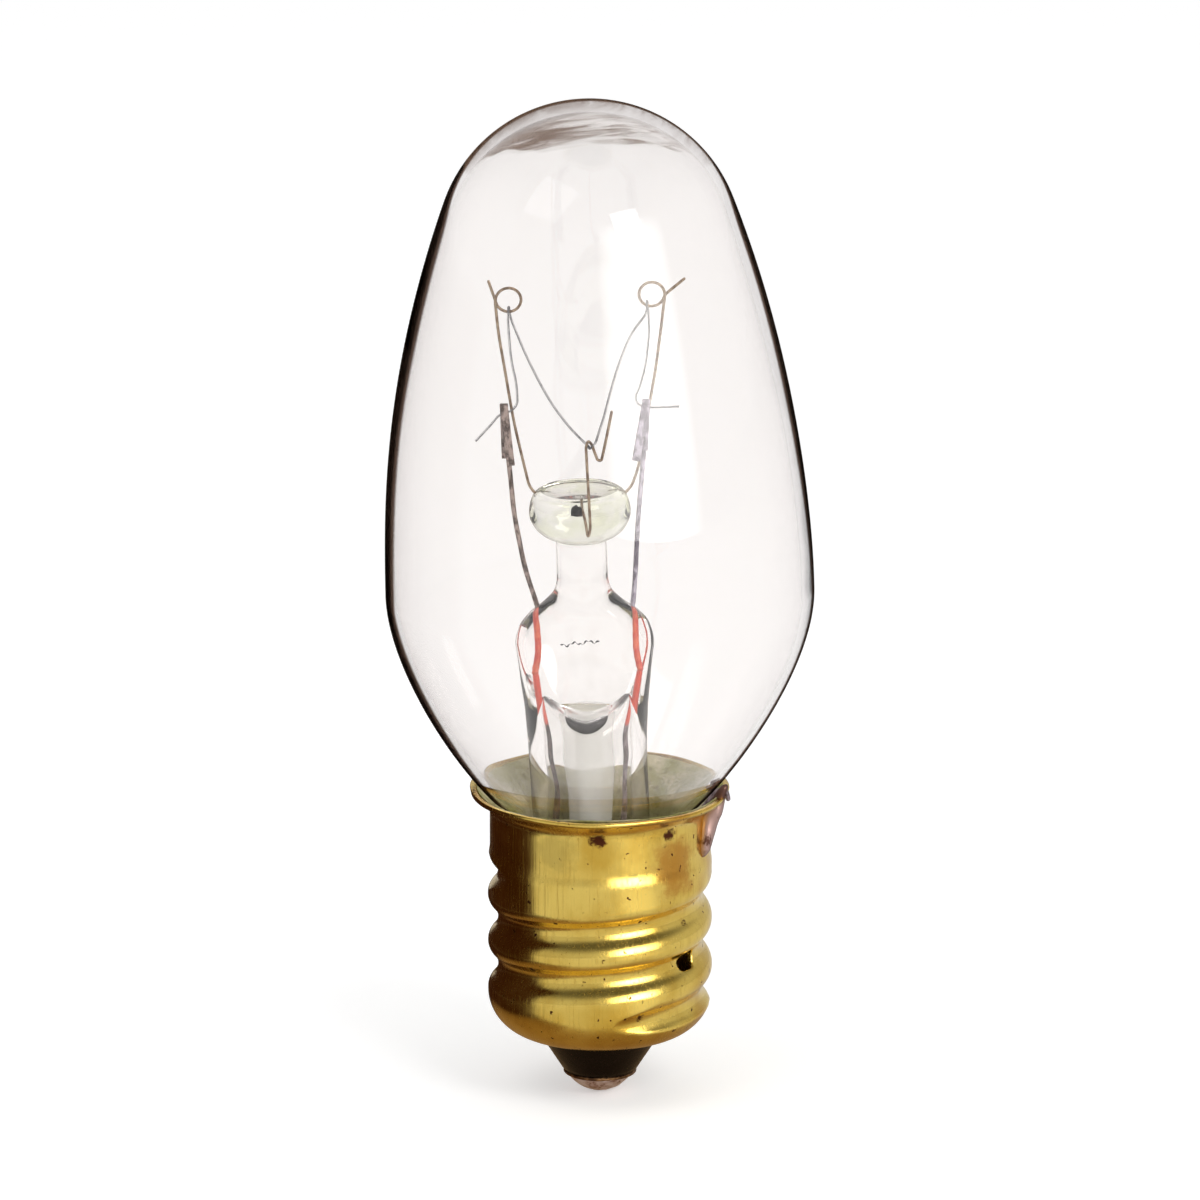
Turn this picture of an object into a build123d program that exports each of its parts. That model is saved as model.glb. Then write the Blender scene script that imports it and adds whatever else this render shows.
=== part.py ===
from build123d import *
import os
from math import asin, atan2, cos, degrees, radians, sin, sqrt, tan

# Small clear night light bulb on a candelabra screw base, in millimetres, +Z up.
# The origin is the lowest point of the centre contact, on the axis of the base.
# The glass leans a little on its base and the stem leans a little more inside it,
# so each of the two has a frame of its own.

# Brass screw base
crest_radius = 5.81
thread_pitch = 2.54
thread_depth = 0.53
root_round = 0.36
crest_land = 0.5
crest_height = 4.36
groove_start = -130
groove_turns = 2.8
groove_fade = 0.22
shell_wall = 0.25
shell_floor = 2.5
shell_mouth_radius = 2.8
shoulder_round = 3.0
thread_top = 12.45
collar_radius = 5.7
collar_bottom = 12.9
lip_start = 15.1
lip_bend = 0.9
lip_angle = 50
lip_radius = 6.6
hole_height = 7.9
hole_direction = -37
hole_width = 1.2
hole_rise = 0.9

# Black insulator, eyelet and solder at the tip
insulator_tip_radius = 2.0
insulator_tip = 1.16
insulator_thickness = 2.6
eyelet_radius = 1.9
eyelet_plate = 0.18
shank_radius = 0.6
shank_bore = 0.36
dome_radius = 1.72
side_solder_direction = -16
side_solder_radius = 0.78

# Blown glass
overall_height = 52.85
bulb_radius = 11.06
widest_height = 26.95
crown_radius = 7.9
glass_wall = 0.5
seat_radius = 5.61
seat_height = 16.0
seat_angle = 43.7
seat_pull = 3.43
belly_pull = 3.36
neck_radius = 4.4
neck_round = 1.2
neck_end = 9.6
glass_lean = 1.0
glass_pivot = 14.0
cement_bottom = 10.4
cement_top = 15.7

# Glass stem
stem_lean = 1.85
flare_radius = 3.07
flare_bore = 2.15
flare_rim = 10.3
flare_wall_rim = 0.65
flare_turn = 1.6
press_start = 17.0
press_waist = 20.6
press_middle = 24.3
press_top = 27.1
press_half_width = 3.65
press_half_depth = 1.75
bore_end = 21.9
exhaust_radius = 1.2
exhaust_bore = 0.62
exhaust_end = 7.2
exhaust_top = 20.9
port_radius = 0.62
port_height = 20.2
rod_radius = 1.32
rod_foot = 24.5
button_bottom = 29.9
button_middle = 31.0
button_top = 32.45
button_radius = 2.53
button_face_radius = 2.05
button_dish = 0.12

# Wires
inner_lead_radius = 0.13
dumet_radius = 0.15
outer_lead_radius = 0.14
support_radius = 0.075
filament_radius = 0.07
weld_radius = 0.24
weld_height = 22.8
lead_exit_height = 26.05
clamp_width = 0.42
clamp_thickness = 0.16
wire_gap = 0.06

os.makedirs("parts", exist_ok=True)


# Frames: each of the leaning glass parts is drawn upright in its own plane
def leaning(angle, pivot):
    return Plane.XY.offset(pivot).rotated((0, -angle, 0)).offset(-pivot)


def upright(frame):
    return Plane(origin=frame.origin, x_dir=frame.x_dir, z_dir=-frame.y_dir)


def middle_line(frame):
    return Axis(frame.origin, frame.z_dir)


bulb_frame = leaning(glass_lean, glass_pivot)
stem_frame = leaning(stem_lean, 0)


def placed(point):
    """A plain triple is a point of the leaning stem, a Vector is one of the upright base."""
    if isinstance(point, Vector):
        return point
    return stem_frame.from_local_coords(Vector(*point))


# Round outline of the base from the axis to the lip, moved inwards by inset
def base_outline(inset, lip_extra):
    with BuildSketch(Plane.XZ) as outline:
        with BuildLine():
            start = (0, shell_floor + inset)
            floor = Line(start, (crest_radius - shoulder_round, shell_floor + inset))
            shoulder = JernArc(floor @ 1, (1, 0), shoulder_round - inset, 90)
            barrel = Line(shoulder @ 1, (crest_radius - inset, thread_top))
            step = Line(barrel @ 1, (collar_radius - inset, collar_bottom))
            collar = Line(step @ 1, (collar_radius - inset, lip_start))
            bend = JernArc(collar @ 1, (0, 1), lip_bend + inset, -lip_angle)
            run = (lip_radius + lip_extra - (bend @ 1).X) / sin(radians(lip_angle))
            lip = Line(bend @ 1, bend @ 1 + (bend % 1) * run)
            Polyline(lip @ 1, (0, (lip @ 1).Y), start)
        make_face()
    return outline.sketch


# Thread groove: a narrow round root between two broad round crests, swept up a helix.
# The crest and root rounds are tangent to each other halfway down the flank.
def groove(inset):
    rounds = (thread_depth**2 + (thread_pitch / 2) ** 2) / (2 * thread_depth)
    crest_arc = rounds - root_round - inset
    root_arc = root_round + inset
    land_rise = (crest_land / 2) ** 2 / (2 * (rounds - root_round))
    crest_centre = crest_radius - (rounds - root_round) + land_rise
    root_centre = crest_centre + rounds - thread_depth
    share = root_arc / rounds
    flank_x = -(root_centre - crest_centre) * share
    flank_z = thread_pitch / 2 * share
    edge_z = thread_pitch / 2 - crest_land / 4
    edge_x = crest_centre + sqrt(crest_arc**2 - (crest_land / 4) ** 2) - root_centre
    clear_x = edge_x + 0.4
    steps = round(groove_turns * 16)
    points = []
    for i in range(steps + 1):
        turn = groove_turns * i / steps
        end_distance = min(turn, groove_turns - turn)
        fade = max(0, 1 - end_distance / groove_fade)
        radius = root_centre + (thread_depth + root_arc) * fade**2 * (3 - 2 * fade)
        angle = groove_start + 360 * turn
        height = crest_height + thread_pitch / 2 + thread_pitch * angle / 360
        points.append((radius * cos(radians(angle)), radius * sin(radians(angle)), height))
    with BuildPart() as cutter:
        with BuildLine() as helix:
            Spline(*points)
        first = helix.line @ 0
        outward = Vector(first.X, first.Y, 0).normalized()
        with BuildSketch(Plane(origin=first, x_dir=outward, z_dir=helix.line % 0)):
            with BuildLine():
                RadiusArc((flank_x, -flank_z), (flank_x, flank_z), root_arc)
                RadiusArc((flank_x, flank_z), (edge_x, edge_z), -crest_arc)
                RadiusArc((flank_x, -flank_z), (edge_x, -edge_z), crest_arc)
                Polyline((edge_x, edge_z), (clear_x, edge_z), (clear_x, -edge_z), (edge_x, -edge_z))
            make_face()
        sweep(path=helix.line, is_frenet=True)
    return cutter.part


# Space inside the shell, which the insulator and the cement are also cut from
with BuildPart() as shell_space:
    with BuildSketch(Plane.XZ):
        add(base_outline(shell_wall, 1.0))
    revolve(axis=Axis.Z)
    add(groove(shell_wall), mode=Mode.SUBTRACT)

hole_plane = Plane(
    origin=(0, 0, hole_height),
    x_dir=(-sin(radians(hole_direction)), cos(radians(hole_direction)), 0),
    z_dir=(cos(radians(hole_direction)), sin(radians(hole_direction)), 0),
)

with BuildPart() as screw_shell:
    with BuildSketch(Plane.XZ):
        add(base_outline(0, 0))
    revolve(axis=Axis.Z)
    add(groove(0), mode=Mode.SUBTRACT)
    add(shell_space.part, mode=Mode.SUBTRACT)
    Cylinder(shell_mouth_radius, shell_floor * 4, mode=Mode.SUBTRACT)
    with BuildSketch(hole_plane):
        Ellipse(hole_width / 2, hole_rise / 2)
        with Locations((hole_width * 0.35, hole_rise * 0.35)):
            Circle(hole_rise * 0.28)
    extrude(amount=crest_radius * 1.2, mode=Mode.SUBTRACT)


# Blown glass envelope: a round crown, long sides tangent to it, a full belly and
# a waist that narrows to the neck inside the base
crown_rise = overall_height - crown_radius - widest_height
side_radius = (bulb_radius**2 + crown_rise**2 - crown_radius**2) / (2 * (bulb_radius - crown_radius))
side_sweep = degrees(atan2(crown_rise, side_radius - bulb_radius))
seat_way = Vector(sin(radians(seat_angle)), cos(radians(seat_angle)))

with BuildPart() as glass_body:
    with BuildSketch(upright(bulb_frame)):
        with BuildLine():
            crown = JernArc((0, overall_height), (1, 0), crown_radius, side_sweep - 90)
            side = JernArc(crown @ 1, crown % 1, side_radius, -side_sweep)
            seat = Vector(seat_radius, seat_height)
            widest = side @ 1
            Bezier(widest, widest - Vector(0, belly_pull), seat + seat_way * seat_pull, seat)
            waist = Line(seat, seat - seat_way * ((seat_radius - neck_radius) / seat_way.X))
            Polyline(waist @ 1, (neck_radius, neck_end), (0, neck_end), (0, overall_height))
        make_face()
        fillet(vertices().sort_by_distance(waist @ 1)[0], neck_round)
    revolve(axis=middle_line(bulb_frame))

with BuildPart() as glass_envelope:
    add(glass_body.part)
    neck_face = faces().filter_by(GeomType.PLANE).sort_by(Axis.Z)[0]
    offset(amount=-glass_wall, openings=neck_face)

with BuildPart() as glass_space:
    add(glass_body.part)
    add(glass_envelope.part, mode=Mode.SUBTRACT)


# Bent wires: straight runs joined by arcs as large as the runs allow
def bend_radii(points):
    radii = []
    for before, corner, after in zip(points, points[1:], points[2:]):
        arriving = Vector(corner) - Vector(before)
        leaving = Vector(after) - Vector(corner)
        half_turn = radians(arriving.get_angle(leaving)) / 2
        radii.append(0.45 * min(arriving.length, leaving.length) / tan(half_turn))
    return radii


def wire(points, radius):
    corners = [placed(point) for point in points]
    with BuildPart() as run:
        with BuildLine() as route:
            FilletPolyline(*corners, radius=bend_radii(corners))
        with BuildSketch(Plane(origin=route.line @ 0, z_dir=route.line % 0)):
            Circle(radius)
        sweep(path=route.line)
    return run


# Lead paths in the stem's frame, from the weld up to the clamp and down into the base
inner_path_left = [
    (-2.36, 0, lead_exit_height),
    (-3.07, 0, 28.71),
    (-3.42, 0, 30.97),
    (-3.56, 0, 33.51),
    (-3.73, 0, 36.75),
]
inner_path_right = [
    (2.57, 0, lead_exit_height),
    (2.71, 0, 27.15),
    (3.03, 0, 31.05),
    (3.40, 0, 34.05),
    (3.62, 0, 36.75),
]
fold_gap = inner_lead_radius + 2 * filament_radius + clamp_thickness / 2
fold_left = [
    (-3.73, 0, 36.75),
    (-3.73, 0, 37.08),
    (-3.73, -fold_gap, 37.08),
    (-3.48, -fold_gap, 33.9),
]
fold_right = [
    (3.62, 0, 36.75),
    (3.62, 0, 37.08),
    (3.62, -fold_gap, 37.08),
    (3.0, -fold_gap, 33.95),
]


def inner_lead(path, fold):
    """Round wire with a flattened end folded back down over the filament's tail."""
    lead = wire(path, inner_lead_radius)
    with BuildPart() as whole:
        add(lead.part)
        with BuildLine(stem_frame) as fold_line:
            FilletPolyline(*fold, radius=bend_radii(fold))
        flat = Plane(
            origin=fold_line.line @ 0,
            x_dir=stem_frame.x_dir,
            z_dir=fold_line.line % 0,
        )
        with BuildSketch(flat):
            RectangleRounded(clamp_width, clamp_thickness, clamp_thickness * 0.4)
        sweep(path=fold_line.line)
    return whole


def dumet(path):
    """Straight red wire sealed in the press, from the weld knot to the inner lead."""
    foot = (path[0][0], 0, weld_height)
    with BuildPart() as piece:
        with BuildLine(stem_frame) as route:
            Line(foot, path[0])
        with BuildSketch(Plane(origin=route.line @ 0, z_dir=route.line % 0)):
            Circle(dumet_radius)
        sweep(path=route.line)
    return piece


lip_top = lip_start + lip_bend + 0.5
neck_gap = (neck_radius + crest_radius - thread_depth - shell_wall) / 2
solder_x = cos(radians(side_solder_direction))
solder_y = sin(radians(side_solder_direction))


def beside_solder(radius, height):
    return Vector(radius * solder_x, radius * solder_y, height)


outer_path_right = [
    (2.57, 0, weld_height),
    (1.95, 0, 20.4),
    (1.75, 0, 17.0),
    (1.75, 0, flare_rim),
    beside_solder(neck_gap - 1.6, neck_end - 1.1),
    beside_solder(neck_gap, neck_end - 0.9),
    beside_solder(neck_gap, lip_start - 1.5),
    beside_solder(collar_radius - 0.55, lip_start),
    beside_solder(seat_radius + 0.15, seat_height),
    beside_solder(lip_radius - 0.25, lip_top + 0.25),
    beside_solder(lip_radius + 0.15, lip_top + 0.3),
    beside_solder(lip_radius + 0.3, lip_top - 0.3),
]
outer_path_left = [
    (-2.36, 0, weld_height),
    (-1.95, 0, 20.4),
    (-1.78, 0, 17.0),
    (-1.78, 0, 6.8),
    Vector(0, 0, insulator_tip + insulator_thickness + 0.5),
    Vector(0, 0, insulator_tip - 0.4),
]


def outer_lead(path, welded_to, squeezed_by):
    """Copper wire from the weld knot in the press to its contact."""
    run = wire(path, outer_lead_radius)
    with BuildPart() as whole:
        add(run.part)
        with Locations(placed(path[0])):
            Sphere(weld_radius)
        add(welded_to.part, mode=Mode.SUBTRACT)
        for neighbour in squeezed_by:
            add(neighbour.part, mode=Mode.SUBTRACT)
    return whole


inner_lead_left = inner_lead(inner_path_left, fold_left)
inner_lead_right = inner_lead(inner_path_right, fold_right)
dumet_left = dumet(inner_path_left)
dumet_right = dumet(inner_path_right)
outer_lead_left = outer_lead(outer_path_left, dumet_left, [])
outer_lead_right = outer_lead(outer_path_right, dumet_right, [glass_envelope, screw_shell])

# Supports in the stem's frame: each springs from the button and ends in an open eye
eye_left = (-3.35, 42.5)
eye_right = (4.04, 42.53)
eye_radius = 0.66
eye_pitch = 0.34
eye_depth = 0.3
eye_sweep_left = (185, -215)
eye_sweep_right = (-20, 385)
support_path_left = [
    (-1.5, 0.1, 32.0),
    (-2.2, 0.15, 32.12),
    (-2.6, 0.25, 32.6),
    (-2.89, 0.4, 34.11),
    (-3.26, 0.45, 35.92),
    (-3.55, 0.4, 38.18),
    (-3.88, 0.25, 40.61),
]
support_path_right = [
    (1.5, 0.1, 31.95),
    (2.25, 0.15, 32.02),
    (2.74, 0.25, 32.45),
    (3.12, 0.45, 33.4),
    (3.85, 0.5, 37.07),
    (4.13, 0.4, 38.56),
    (4.45, 0.25, 40.79),
]
support_path_middle = [
    (0.1, -1.2, 32.0),
    (0.14, -2.6, 32.1),
    (0.3, -3.55, 31.7),
    (0.4, -4.15, 30.95),
    (0.55, -4.3, 31.5),
    (0.5, -3.85, 33.8),
    (0.45, -3.5, 35.6),
    (0.57, -3.45, 35.93),
    (0.74, -3.4, 35.75),
    (1.02, -3.3, 34.85),
    (1.22, -3.27, 34.8),
    (1.5, -3.2, 35.9),
    (1.85, -3.1, 37.4),
]


def eye(centre, sweep, tail):
    """Points of a round eye that steps back by its pitch as it goes round."""
    first, last = sweep
    corners = 14
    points = []
    for i in range(corners + 1):
        share = i / corners
        angle = radians(first + (last - first) * share)
        x = centre[0] + eye_radius * cos(angle)
        z = centre[1] + eye_radius * sin(angle)
        points.append((x, eye_depth + eye_pitch * (share - 0.5), z))
    points.append(tail)
    return points


support_left = wire(
    support_path_left + eye(eye_left, eye_sweep_left, (-4.72, eye_depth + eye_pitch / 2, 43.69)),
    support_radius,
)
support_right = wire(
    support_path_right + eye(eye_right, eye_sweep_right, (5.77, eye_depth + eye_pitch / 2, 43.3)),
    support_radius,
)
support_middle = wire(support_path_middle, support_radius)

# Stem: arbor rod with its button, drawn as one turned outline
with BuildPart() as button_rod:
    with BuildSketch(upright(stem_frame)):
        with BuildLine():
            rod_edge = Line((0, rod_foot), (rod_radius, rod_foot))
            rod_side = Line(rod_edge @ 1, (rod_radius, button_bottom))
            ThreePointArc(
                rod_side @ 1,
                (button_radius, button_middle),
                (button_face_radius, button_top),
            )
            dish_round = (button_face_radius**2 + button_dish**2) / (2 * button_dish)
            dish_sweep = degrees(asin(button_face_radius / dish_round))
            JernArc((0, button_top - button_dish), (1, 0), dish_round, dish_sweep)
            Line((0, button_top - button_dish), (0, rod_foot))
        make_face()
        fillet(vertices().sort_by_distance(rod_side @ 1)[0], 0.25)
    revolve(axis=middle_line(stem_frame))
    for support in (support_left, support_right, support_middle):
        add(support.part, mode=Mode.SUBTRACT)

# Filament: one fine coil hung from clamp to eye, down under the hook and back up
coil_seat = filament_radius + support_radius + wire_gap
clamped = -inner_lead_radius - filament_radius


def over_eye(centre, sweep):
    """Four corners of the turn that the coil takes over the lowest point of an eye."""
    first, last = sweep
    lowest = -90 if last < first else 270
    y = eye_depth + eye_pitch * ((lowest - first) / (last - first) - 0.5)
    z = centre[1] - eye_radius
    return [
        (centre[0] - 0.05, y - 1.5 * coil_seat, z - 1.6 * coil_seat),
        (centre[0], y - coil_seat, z + 1.15 * coil_seat),
        (centre[0], y + coil_seat, z + 1.15 * coil_seat),
        (centre[0] + 0.05, y + 1.5 * coil_seat, z - 1.6 * coil_seat),
    ]


filament_path = [
    (-5.25, clamped - 0.1, 35.23),
    (-4.4, clamped - 0.05, 36.1),
    (-3.95, clamped, 36.62),
    (-3.35, clamped, 36.75),
    (-3.03, clamped + 0.03, 37.12),
    (-3.05, clamped + 0.1, 38.17),
    (-3.3, clamped + 0.2, 39.39),
    *over_eye(eye_left, eye_sweep_left),
    (-2.57, -0.1, 39.76),
    (-1.89, -0.95, 38.48),
    (-1.21, -1.7, 37.39),
    (-0.35, -2.43, 36.36),
    (0.3, -3.0, 35.8),
    (0.6, -3.2, 35.55),
    (0.64, -3.7, 35.55),
    (0.95, -3.55, 35.8),
    (1.14, -3.15, 36.27),
    (1.41, -2.75, 37.4),
    (1.90, -2.2, 38.9),
    (2.52, -1.5, 40.53),
    (3.13, -0.75, 41.2),
    *over_eye(eye_right, eye_sweep_right),
    (3.87, 0.4, 40.65),
    (3.64, 0.1, 38.85),
    (3.31, clamped + 0.05, 37.8),
    (3.04, clamped, 37.3),
    (3.2, clamped, 36.85),
    (3.9, clamped, 36.7),
    (5.26, clamped - 0.1, 36.74),
]
filament = wire(filament_path, filament_radius)

# Pressed stem: a round tube flattened on the leads and drawn in round the rod
press_sections = [
    (press_start, flare_radius, flare_radius),
    (18.8, flare_radius, flare_radius * 0.97),
    (press_waist, flare_radius + 0.08, 2.35),
    (22.6, 3.42, 1.9),
    (press_middle, press_half_width, press_half_depth),
    (25.5, 3.2, 1.65),
    (26.3, 2.35, 1.5),
    (press_top, rod_radius + 0.12, rod_radius + 0.12),
]
bore_sections = [
    (press_start, flare_bore, flare_bore),
    (press_waist - 1.2, flare_bore, 1.55),
    (press_waist, flare_bore, exhaust_radius - 0.2),
    (bore_end, flare_bore * 0.86, 0.55),
]


def stem_loft(sections):
    with BuildPart() as body:
        for height, half_width, half_depth in sections:
            with BuildSketch(stem_frame.offset(height)):
                Ellipse(half_width, half_depth)
        loft()
    return body.part


press_body = stem_loft(press_sections)
press_bore = stem_loft(bore_sections)

with BuildPart() as exhaust_tube:
    with BuildSketch(upright(stem_frame)):
        with BuildLine():
            Polyline(
                (0, exhaust_end),
                (exhaust_radius * 0.45, exhaust_end + 0.1),
                (exhaust_radius, exhaust_end + 1.5),
                (exhaust_radius, exhaust_top),
                (0, exhaust_top),
                (0, exhaust_top - exhaust_bore),
                (exhaust_bore, exhaust_top - exhaust_bore),
                (exhaust_bore, exhaust_end + 1.9),
                (0, exhaust_end + 1.1),
                (0, exhaust_end),
            )
        make_face()
        fillet(vertices().sort_by_distance((exhaust_radius, exhaust_end + 1.5))[0], 0.8)
        fillet(vertices().sort_by_distance((exhaust_radius, exhaust_top))[0], 0.5)
        fillet(vertices().sort_by_distance((exhaust_bore, exhaust_top - exhaust_bore))[0], 0.3)
    revolve(axis=middle_line(stem_frame))

port_plane = Plane(
    origin=stem_frame.from_local_coords(Vector(0, 0, port_height)),
    x_dir=stem_frame.x_dir,
    z_dir=-stem_frame.y_dir,
)

with BuildPart() as stem_flare:
    with BuildSketch(upright(stem_frame)):
        with BuildLine():
            rim = neck_radius + 0.3
            outside = FilletPolyline(
                (flare_radius, press_start),
                (flare_radius, flare_rim + 0.9),
                (rim, flare_rim),
                radius=flare_turn,
            )
            inside = FilletPolyline(
                (rim, flare_rim - flare_wall_rim),
                (flare_bore, flare_rim + 0.9 - flare_wall_rim),
                (flare_bore, press_start),
                radius=flare_turn * 0.6,
            )
            Line(outside @ 1, inside @ 0)
            Line(inside @ 1, outside @ 0)
        make_face()
    revolve(axis=middle_line(stem_frame))
    add(glass_space.part, mode=Mode.INTERSECT)
    add(press_body)
    add(press_bore, mode=Mode.SUBTRACT)
    add(button_rod.part, mode=Mode.SUBTRACT)
    with BuildSketch(upright(stem_frame)):
        with Locations((exhaust_radius / 2, (exhaust_top + press_start) / 2)):
            Rectangle(exhaust_radius, exhaust_top - press_start)
    revolve(axis=middle_line(stem_frame), mode=Mode.SUBTRACT)
    with BuildSketch(port_plane):
        Ellipse(port_radius, port_radius * 0.8)
    extrude(amount=flare_radius * 2, mode=Mode.SUBTRACT)
    for lead in (inner_lead_left, inner_lead_right, outer_lead_left, outer_lead_right):
        add(lead.part, mode=Mode.SUBTRACT)
    add(dumet_left.part, mode=Mode.SUBTRACT)
    add(dumet_right.part, mode=Mode.SUBTRACT)

# Small black insulator with its eyelet and the solder dome under it
top_of_insulator = insulator_tip + insulator_thickness

with BuildPart() as insulator_body:
    with BuildSketch(Plane.XZ):
        with BuildLine():
            cone = Line((insulator_tip_radius, insulator_tip), (shell_mouth_radius, shell_floor))
            Polyline(
                cone @ 1,
                (shell_mouth_radius, shell_floor + shell_wall),
                (crest_radius, shell_floor + shell_wall),
                (crest_radius, top_of_insulator - 0.2),
                (shank_radius * 1.8, top_of_insulator),
                (shank_radius, top_of_insulator - 0.4),
                (shank_radius, insulator_tip),
                cone @ 0,
            )
        make_face()
        fillet(vertices().sort_by_distance(cone @ 0)[0], 0.15)
    revolve(axis=Axis.Z)

with BuildPart() as insulator_room:
    add(shell_space.part)
    Cylinder(shell_mouth_radius, shell_floor * 4)

with BuildPart() as insulator:
    add(insulator_body.part)
    add(insulator_room.part, mode=Mode.INTERSECT)

with BuildPart() as contact_eyelet:
    with BuildSketch(Plane.XZ):
        with BuildLine():
            Polyline(
                (shank_bore, insulator_tip - eyelet_plate),
                (eyelet_radius, insulator_tip - eyelet_plate),
                (eyelet_radius, insulator_tip),
                (shank_radius, insulator_tip),
                (shank_radius, top_of_insulator),
                (shank_bore, top_of_insulator),
                (shank_bore, insulator_tip - eyelet_plate),
            )
        make_face()
    revolve(axis=Axis.Z)
    rims = edges().filter_by(GeomType.CIRCLE).sort_by(SortBy.RADIUS)[-2:]
    fillet(rims, eyelet_plate * 0.4)

with BuildPart() as centre_solder:
    with BuildSketch(Plane.XZ):
        dome_height = insulator_tip - eyelet_plate
        dome_round = (dome_radius**2 + dome_height**2) / (2 * dome_height)
        with BuildLine():
            dome = JernArc((0, 0), (1, 0), dome_round, degrees(asin(dome_radius / dome_round)))
            Polyline(dome @ 1, (0, dome_height), (0, 0))
        make_face()
    revolve(axis=Axis.Z)
    with Locations((0, 0, dome_height)):
        Cylinder(shank_bore, 1.0, align=(Align.CENTER, Align.CENTER, Align.MIN))
    add(outer_lead_left.part, mode=Mode.SUBTRACT)

# Cement that holds the neck in the collar, and the solder over the lip
with BuildPart() as base_cement:
    with Locations((0, 0, cement_bottom)):
        Cylinder(crest_radius * 1.3, cement_top - cement_bottom, align=(Align.CENTER, Align.CENTER, Align.MIN))
    add(shell_space.part, mode=Mode.INTERSECT)
    add(glass_body.part, mode=Mode.SUBTRACT)
    add(outer_lead_right.part, mode=Mode.SUBTRACT)

with BuildPart() as collar_core:
    with BuildSketch(Plane.XZ):
        add(base_outline(0, 0))
    revolve(axis=Axis.Z)

with BuildPart() as lip_inside:
    with BuildSketch(Plane.XZ):
        add(base_outline(shell_wall, 1.0))
    revolve(axis=Axis.Z)

# The drop of solder is a long ellipsoid, cut away by the collar, the lip and the wire
drop_peak = Vector(solder_x, solder_y, 0) * (lip_radius + 0.12) + Vector(0, 0, lip_top + 0.3)
drop_foot = Vector(solder_x, solder_y, 0) * (collar_radius + 0.15) + Vector(0, 0, lip_start - 1.8)
drop_plane = Plane(
    origin=(drop_peak + drop_foot) / 2,
    x_dir=drop_peak - drop_foot,
    z_dir=(solder_y, -solder_x, 0),
)

with BuildPart() as side_solder:
    with BuildSketch(drop_plane):
        Ellipse((drop_peak - drop_foot).length / 2, side_solder_radius)
        with Locations((0, -side_solder_radius)):
            Rectangle(lip_start, 2 * side_solder_radius, mode=Mode.SUBTRACT)
    revolve(axis=Axis(drop_plane.origin, drop_plane.x_dir))
    add(collar_core.part, mode=Mode.SUBTRACT)
    add(lip_inside.part, mode=Mode.SUBTRACT)
    add(outer_lead_right.part, mode=Mode.SUBTRACT)

pieces = {
    "glass_envelope": glass_envelope,
    "stem_flare": stem_flare,
    "exhaust_tube": exhaust_tube,
    "button_rod": button_rod,
    "dumet_left": dumet_left,
    "dumet_right": dumet_right,
    "inner_lead_left": inner_lead_left,
    "inner_lead_right": inner_lead_right,
    "outer_lead_left": outer_lead_left,
    "outer_lead_right": outer_lead_right,
    "support_left": support_left,
    "support_right": support_right,
    "support_middle": support_middle,
    "filament": filament,
    "screw_shell": screw_shell,
    "base_cement": base_cement,
    "insulator": insulator,
    "contact_eyelet": contact_eyelet,
    "centre_solder": centre_solder,
    "side_solder": side_solder,
}
for name, piece in pieces.items():
    piece.part.label = name
    export_step(piece.part, f"parts/{name}.step")
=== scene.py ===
"""Small clear night light bulb on a brass candelabra cap, standing on its solder tip.

Sizes are in millimetres in the row frame, and become metres when a mesh is made.
"""

from functools import reduce
from math import cos, pi, radians, sin, tan

import bpy
import numpy as np
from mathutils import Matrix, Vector


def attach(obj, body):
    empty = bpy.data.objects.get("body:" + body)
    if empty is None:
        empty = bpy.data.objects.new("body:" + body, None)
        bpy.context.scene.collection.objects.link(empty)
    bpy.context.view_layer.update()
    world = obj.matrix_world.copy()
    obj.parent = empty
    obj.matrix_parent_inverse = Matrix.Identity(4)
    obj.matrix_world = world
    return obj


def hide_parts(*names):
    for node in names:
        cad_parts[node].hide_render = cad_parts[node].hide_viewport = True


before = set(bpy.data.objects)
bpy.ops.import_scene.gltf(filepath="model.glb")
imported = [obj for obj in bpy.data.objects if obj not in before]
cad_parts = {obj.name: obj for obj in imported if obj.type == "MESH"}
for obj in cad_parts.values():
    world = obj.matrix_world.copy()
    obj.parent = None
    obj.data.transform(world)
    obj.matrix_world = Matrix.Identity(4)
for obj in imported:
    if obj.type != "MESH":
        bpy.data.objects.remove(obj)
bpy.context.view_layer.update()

MM = 0.001

# Leans: the glass stands a little askew on the cap, and the stem a little more
GLASS_LEAN, GLASS_PIVOT = 1.0, 14.0
STEM_LEAN, STEM_PIVOT = 1.85, 0.0

# Brass cap
CREST_RADIUS = 5.81
PITCH = 2.54
THREAD_DEPTH = 0.53
ROOT_ROUND = 0.78
CREST_LAND = 0.2
CREST_HEIGHT = 4.36
GROOVE_START = -130.0
GROOVE_TURNS = 3.08
GROOVE_FADE = 0.22
CAP_WALL = 0.25
CAP_FLOOR = 3.3
CAP_MOUTH = 3.3
SHOULDER_ROUND = 2.25
THREAD_TOP = 12.45
COLLAR_RADIUS = 5.7
COLLAR_BOTTOM = 13.4
LIP_START = 15.1
LIP_BEND = 0.9
LIP_ANGLE = 50.0
LIP_RADIUS = 6.42
HEM_ROUND, HEM_SWEEP = 0.3, 55
HOLE_HEIGHT, HOLE_DIRECTION = 7.9, -34.0
HOLE_HALF_WIDTH, HOLE_HALF_RISE = 0.72, 0.5

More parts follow.
